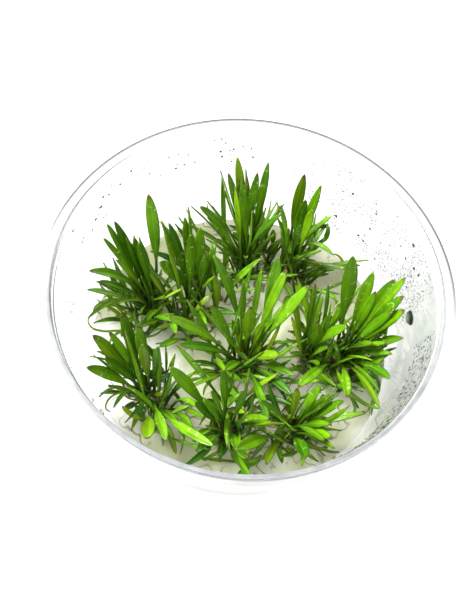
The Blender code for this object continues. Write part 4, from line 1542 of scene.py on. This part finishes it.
def root_tissue():
    """Thin tan roots that fade to clear white at their ends."""
    s = Shader("root tissue", Subsurface_Weight=0.2, Subsurface_Scale=0.4 * MM)
    end = s.ramp(s.layer("along"), 0.4, 1.0)
    s.give("Base Color", s.coats(ROOT_DARK, (s.noise(900, 3), ROOT_TAN), (end, ROOT_END)))
    s.give("Roughness", s.ramp(s.noise(700, 2), 0.3, 0.7, 0.3, 0.55))
    return s.material


def condensed_water(name, colour, darker, roughness=0.0):
    """Clear water whose colour is greyed in patches, a painted shade so that small drops still show on a
    white ground.
    """
    s = Shader(name, IOR=1.333, Transmission_Weight=1.0, Roughness=roughness)
    s.give("Base Color", s.coats(colour, (s.ramp(s.noise(300, 2), 0.35, 0.65), darker)))
    return s.material


def pale_floor(settings):
    """A plain white light table with a trace of unevenness."""
    s = Shader("pale floor", Roughness=0.9, Emission_Color=(1, 1, 1, 1), Emission_Strength=settings.glow)
    s.give("Base Color", s.coats(settings.floor_colour, (s.noise(3, 2), FLOOR_PATCHES)))
    return s.material


# Settings


def colour(name, description, default):
    return bpy.props.FloatVectorProperty(name=name, description=description, default=default, min=0, max=1,
                                         subtype="COLOR", size=3)


def share(name, description, default):
    return bpy.props.FloatProperty(name=name, description=description, default=default, min=0, max=1,
                                   subtype="FACTOR")


def amount(name, description, default, unit="NONE", precision=2):
    return bpy.props.FloatProperty(name=name, description=description, default=default, min=0, unit=unit,
                                   precision=precision)


def count(name, description, default, most):
    return bpy.props.IntProperty(name=name, description=description, default=default, min=0, max=most)


class CupSettings(bpy.types.PropertyGroup):
    colour: colour("Colour", "Tint of the clear plastic", (0.985, 0.99, 0.99))


class GelSettings(bpy.types.PropertyGroup):
    colour: colour("Colour", "Colour of the agar's thick parts", (0.70, 0.73, 0.48))
    clearness: share("Clearness", "How much light goes straight through the gel", 0.3)


class LeafSettings(bpy.types.PropertyGroup):
    thickness: amount("Blade thickness", "Thickness of a blade at its middle", 0.00034, "LENGTH", 5)
    fresh_colour: colour("Fresh green", "The palest leaves", (0.155, 0.36, 0.002))
    deep_colour: colour("Deep green", "The darkest leaves", (0.025, 0.11, 0.0))
    rib_colour: colour("Rib", "The middle rib of a blade", (0.24, 0.42, 0.02))
    base_colour: colour("Base", "Crowns and the bases of leaf stalks", (0.40, 0.42, 0.20))
    young: count("Young leaves", "Short leaves added to each plantlet", 34, 60)
    roots: count("Roots", "Roots round each plantlet", 14, 20)


class WaterSettings(bpy.types.PropertyGroup):
    # The drops' tints are painted shade
    colour: colour("Colour", "Tint of the drops", (0.88, 0.90, 0.89))
    fog_colour: colour("Fog", "Tint of the fine drops", (0.52, 0.53, 0.53))
    fog: count("Fog drops", "Fine drops on the right of the wall", 4800, 6000)


class StageSettings(bpy.types.PropertyGroup):
    floor_colour: colour("Floor", "Colour of the floor", (0.25, 0.25, 0.25))
    glow: amount("Floor glow", "Light that the floor itself gives", 0.85)
    key: amount("Key light", "Power of the large light above", 14.5, "POWER")
    fill: amount("Fill light", "Power of the light on the other side", 2.0, "POWER")


# Operators


class PieceOperator:
    """What all the operators share: undo, and their settings by name."""

    bl_options = {"REGISTER", "UNDO"}

    def settings(self, name):
        return getattr(bpy.context.scene, f"plantcup_{name}")


class PLANTCUP_OT_cup(PieceOperator, bpy.types.Operator):
    """Build the clear cup in place of the frame's"""

    bl_idname = "plantcup.cup"
    bl_label = "Cup"

    def execute(self, context):
        settings = self.settings("cup")
        piece = new_piece("clear_cup", cup_surface(), clear_plastic(settings))
        # The rim takes the plastic with painted shade
        piece.data.materials.append(shaded_rim_plastic(settings))
        piece.data.polygons.foreach_set("material_index", rim_faces(piece.data))
        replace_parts(piece, "cup")
        return {"FINISHED"}


class PLANTCUP_OT_gel(PieceOperator, bpy.types.Operator):
    """Build the poured gel in place of the frame's"""

    bl_idname = "plantcup.gel"
    bl_label = "Agar gel"

    def execute(self, context):
        piece = new_piece("poured_gel", gel_surface(), agar(self.settings("gel")))
        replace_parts(piece, "agar_gel")
        return {"FINISHED"}


class PLANTCUP_OT_large_leaves(PieceOperator, bpy.types.Operator):
    """Build each large leaf as a blade in place of the frame's"""

    bl_idname = "plantcup.large_leaves"
    bl_label = "Large leaves"

    def execute(self, context):
        settings = self.settings("leaf")
        Foliage.grow(settings.thickness / MM)
        tissue = plant_tissue(settings)
        for node, surface in Foliage.large.items():
            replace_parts(new_piece(node.replace("leaf", "blade"), surface, tissue), node)
        return {"FINISHED"}


class PLANTCUP_OT_plantlets(PieceOperator, bpy.types.Operator):
    """Build each crown with its small leaves in place of the frame's"""

    bl_idname = "plantcup.plantlets"
    bl_label = "Crowns and small leaves"

    def execute(self, context):
        settings = self.settings("leaf")
        Foliage.grow(settings.thickness / MM)
        tissue = plant_tissue(settings)
        rng = np.random.default_rng(CROWN_SEED)
        for name, plant in PLANTS.items():
            surface = joined([crown_surface(plant.place, rng), *Foliage.small[name]])
            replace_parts(new_piece(f"plantlet_{name}", surface, tissue), f"plant_{name}")
        return {"FINISHED"}


class PLANTCUP_OT_young_leaves(PieceOperator, bpy.types.Operator):
    """Fill each tuft with its thin bent leaves and short young ones"""

    bl_idname = "plantcup.young_leaves"
    bl_label = "Young and bent leaves"

    def execute(self, context):
        settings = self.settings("leaf")
        thickness = settings.thickness / MM
        Foliage.grow(thickness)
        tissue = plant_tissue(settings)
        rng = np.random.default_rng(YOUNG_SEED)
        for name in PLANTS:
            new_piece(f"bent_leaves_{name}", joined(bent_leaves(name, rng, thickness)), tissue)
        for name, plant in PLANTS.items():
            shoots = shoot_places(plant, rng)
            seen = [seen_leaf(Seen(*row), plant, shoots, rng, thickness) for row in SEEN[name]]
            surfaces = [leaf for leaf in seen if leaf]
            surfaces += young_leaves(plant, shoots, rng, settings.young, thickness)
            surfaces += [crown_surface(place, rng, SHOOT_SIZE) for place in shoots]
            new_piece(f"young_leaves_{name}", joined(surfaces), tissue)
        return {"FINISHED"}


class PLANTCUP_OT_roots(PieceOperator, bpy.types.Operator):
    """Spread thin roots over and into the gel"""

    bl_idname = "plantcup.roots"
    bl_label = "Roots"

    def execute(self, context):
        rng = np.random.default_rng(ROOT_SEED)
        tissue = root_tissue()
        for name, plant in PLANTS.items():
            surfaces = [root_surface(plant.place, rng) for _ in range(self.settings("leaf").roots)]
            new_piece(f"roots_{name}", joined(surfaces), tissue)
        return {"FINISHED"}


class PLANTCUP_OT_condensation(PieceOperator, bpy.types.Operator):
    """Settle drops of water on the inside of the wall"""

    bl_idname = "plantcup.condensation"
    bl_label = "Condensation"

    def execute(self, context):
        rng = np.random.default_rng(WATER_SEED)
        settings = self.settings("water")
        water = condensed_water("condensed water", settings.colour, WATER_SHADE_PATCHES)
        fog = condensed_water("fine fog", settings.fog_colour, FOG_SHADE_PATCHES)
        dark = condensed_water("dark drops", DARK_SHADE_WATER, DARK_SHADE_PATCHES)
        # Painted reflection: the large drop is green as if it showed the leaves
        green = condensed_water("large drop", LEAF_REFLECTION_WATER, LEAF_REFLECTION_PATCHES, 0.35)

        azimuth, height = fog_places(rng, settings.fog)
        size = FOG_SIZE + FOG_SPREAD * rng.uniform(0, 1, len(azimuth)) ** 3
        new_piece("fog_right", drop_surfaces(azimuth, height, size, *FOG_DETAIL), fog)

        places = [[rng.uniform(*span, group.number) for span in (group.azimuths, group.heights)]
                  for group in DROP_GROUPS.values()]
        for (name, group), place in zip(DROP_GROUPS.items(), places):
            small, large = group.sizes
            size = small + (large - small) * rng.uniform(0, 1, group.number) ** 2
            drops = drop_surfaces(*place, size, *DROP_DETAIL)
            new_piece(name, drops, dark if group.dark else water)

        single = drop_surfaces(*np.array(LARGE_DROP)[:, None], *LARGE_DROP_DETAIL)
        new_piece("drop_large", single, green)
        return {"FINISHED"}


class PLANTCUP_OT_stage(PieceOperator, bpy.types.Operator):
    """Lay the floor, light it softly and set the camera at the photograph's angle"""

    bl_idname = "plantcup.stage"
    bl_label = "Stage"

    def execute(self, context):
        settings = self.settings("stage")
        self.floor(pale_floor(settings))
        for name, (size, place) in LAMPS.items():
            self.light(name, getattr(settings, name), size, place)
        self.sky()
        self.camera()
        bpy.context.scene.view_settings.view_transform = "Standard"
        return {"FINISHED"}

    def floor(self, material):
        """A square floor just under the cup."""
        mesh = bpy.data.meshes.new("floor")
        square = ((-1, -1), (1, -1), (1, 1), (-1, 1))
        corners = [(x * FLOOR_REACH, y * FLOOR_REACH, -FLOOR_DROP) for x, y in square]
        mesh.from_pydata(corners, [], [(0, 1, 2, 3)])
        mesh.materials.append(material)
        floor = bpy.data.objects.new("floor", mesh)
        bpy.context.scene.collection.objects.link(floor)

    def light(self, name, power, size, place):
        """A square light that faces the middle of the cup."""
        lamp = bpy.data.lights.new(name, "AREA")
        lamp.energy = power
        lamp.size = size
        light = bpy.data.objects.new(name, lamp)
        light.matrix_world = Matrix(looking(place, np.array(LAMP_AIM) - place, 0.0).tolist())
        bpy.context.scene.collection.objects.link(light)

    def sky(self):
        """A studio that is pale overhead and darker towards the level, for grey edges on clear plastic."""
        world = bpy.data.worlds.new("studio")
        world.use_nodes = True
        tree = world.node_tree
        place = tree.nodes.new("ShaderNodeTexCoord")
        parts = tree.nodes.new("ShaderNodeSeparateXYZ")
        ramp = tree.nodes.new("ShaderNodeValToRGB")
        for element, (height, grey) in zip(ramp.color_ramp.elements, SKY):
            element.position, element.color = height, grey
        tree.links.new(place.outputs["Generated"], parts.inputs[0])
        tree.links.new(parts.outputs["Z"], ramp.inputs[0])
        tree.links.new(ramp.outputs[0], tree.nodes["Background"].inputs["Color"])
        bpy.context.scene.world = world

    def camera(self):
        """The camera of the photograph, which the scene is seen through."""
        lens = bpy.data.cameras.new("camera")
        lens.lens = CAMERA_LENS
        lens.clip_start = CAMERA_NEAREST * MM
        camera = bpy.data.objects.new("camera", lens)
        place, aim = np.array(CAMERA_PLACE) * MM, np.array(CAMERA_AIM) * MM
        camera.matrix_world = Matrix(looking(place, aim - place, CAMERA_ROLL).tolist())
        bpy.context.scene.collection.objects.link(camera)
        bpy.context.scene.camera = camera


class PLANTCUP_PT_panel(bpy.types.Panel):
    """The pieces of the cup and their settings"""

    bl_label = "Plant Cup"
    bl_idname = "PLANTCUP_PT_panel"
    bl_space_type = "VIEW_3D"
    bl_region_type = "UI"
    bl_category = "Plant Cup"

    def draw(self, context):
        for operator in OPERATORS:
            self.layout.operator(operator.bl_idname)
        for name, group in GROUPS.items():
            box = self.layout.box()
            box.label(text=name.capitalize())
            for setting in group.__annotations__:
                box.prop(getattr(context.scene, f"plantcup_{name}"), setting)


GROUPS = {"cup": CupSettings, "gel": GelSettings, "leaf": LeafSettings, "water": WaterSettings,
          "stage": StageSettings}
OPERATORS = (PLANTCUP_OT_cup, PLANTCUP_OT_gel, PLANTCUP_OT_large_leaves, PLANTCUP_OT_plantlets,
             PLANTCUP_OT_young_leaves, PLANTCUP_OT_roots, PLANTCUP_OT_condensation, PLANTCUP_OT_stage)


def register():
    for group in GROUPS.values():
        bpy.utils.register_class(group)
    for name, group in GROUPS.items():
        setattr(bpy.types.Scene, f"plantcup_{name}", bpy.props.PointerProperty(type=group))
    for operator in OPERATORS:
        bpy.utils.register_class(operator)
    bpy.utils.register_class(PLANTCUP_PT_panel)


def unregister():
    bpy.utils.unregister_class(PLANTCUP_PT_panel)
    for operator in reversed(OPERATORS):
        bpy.utils.unregister_class(operator)
    for name, group in GROUPS.items():
        delattr(bpy.types.Scene, f"plantcup_{name}")
        bpy.utils.unregister_class(group)


def main():
    register()
    for operator in OPERATORS:
        group, name = operator.bl_idname.split(".")
        getattr(getattr(bpy.ops, group), name)()


if __name__ == "__main__":
    main()
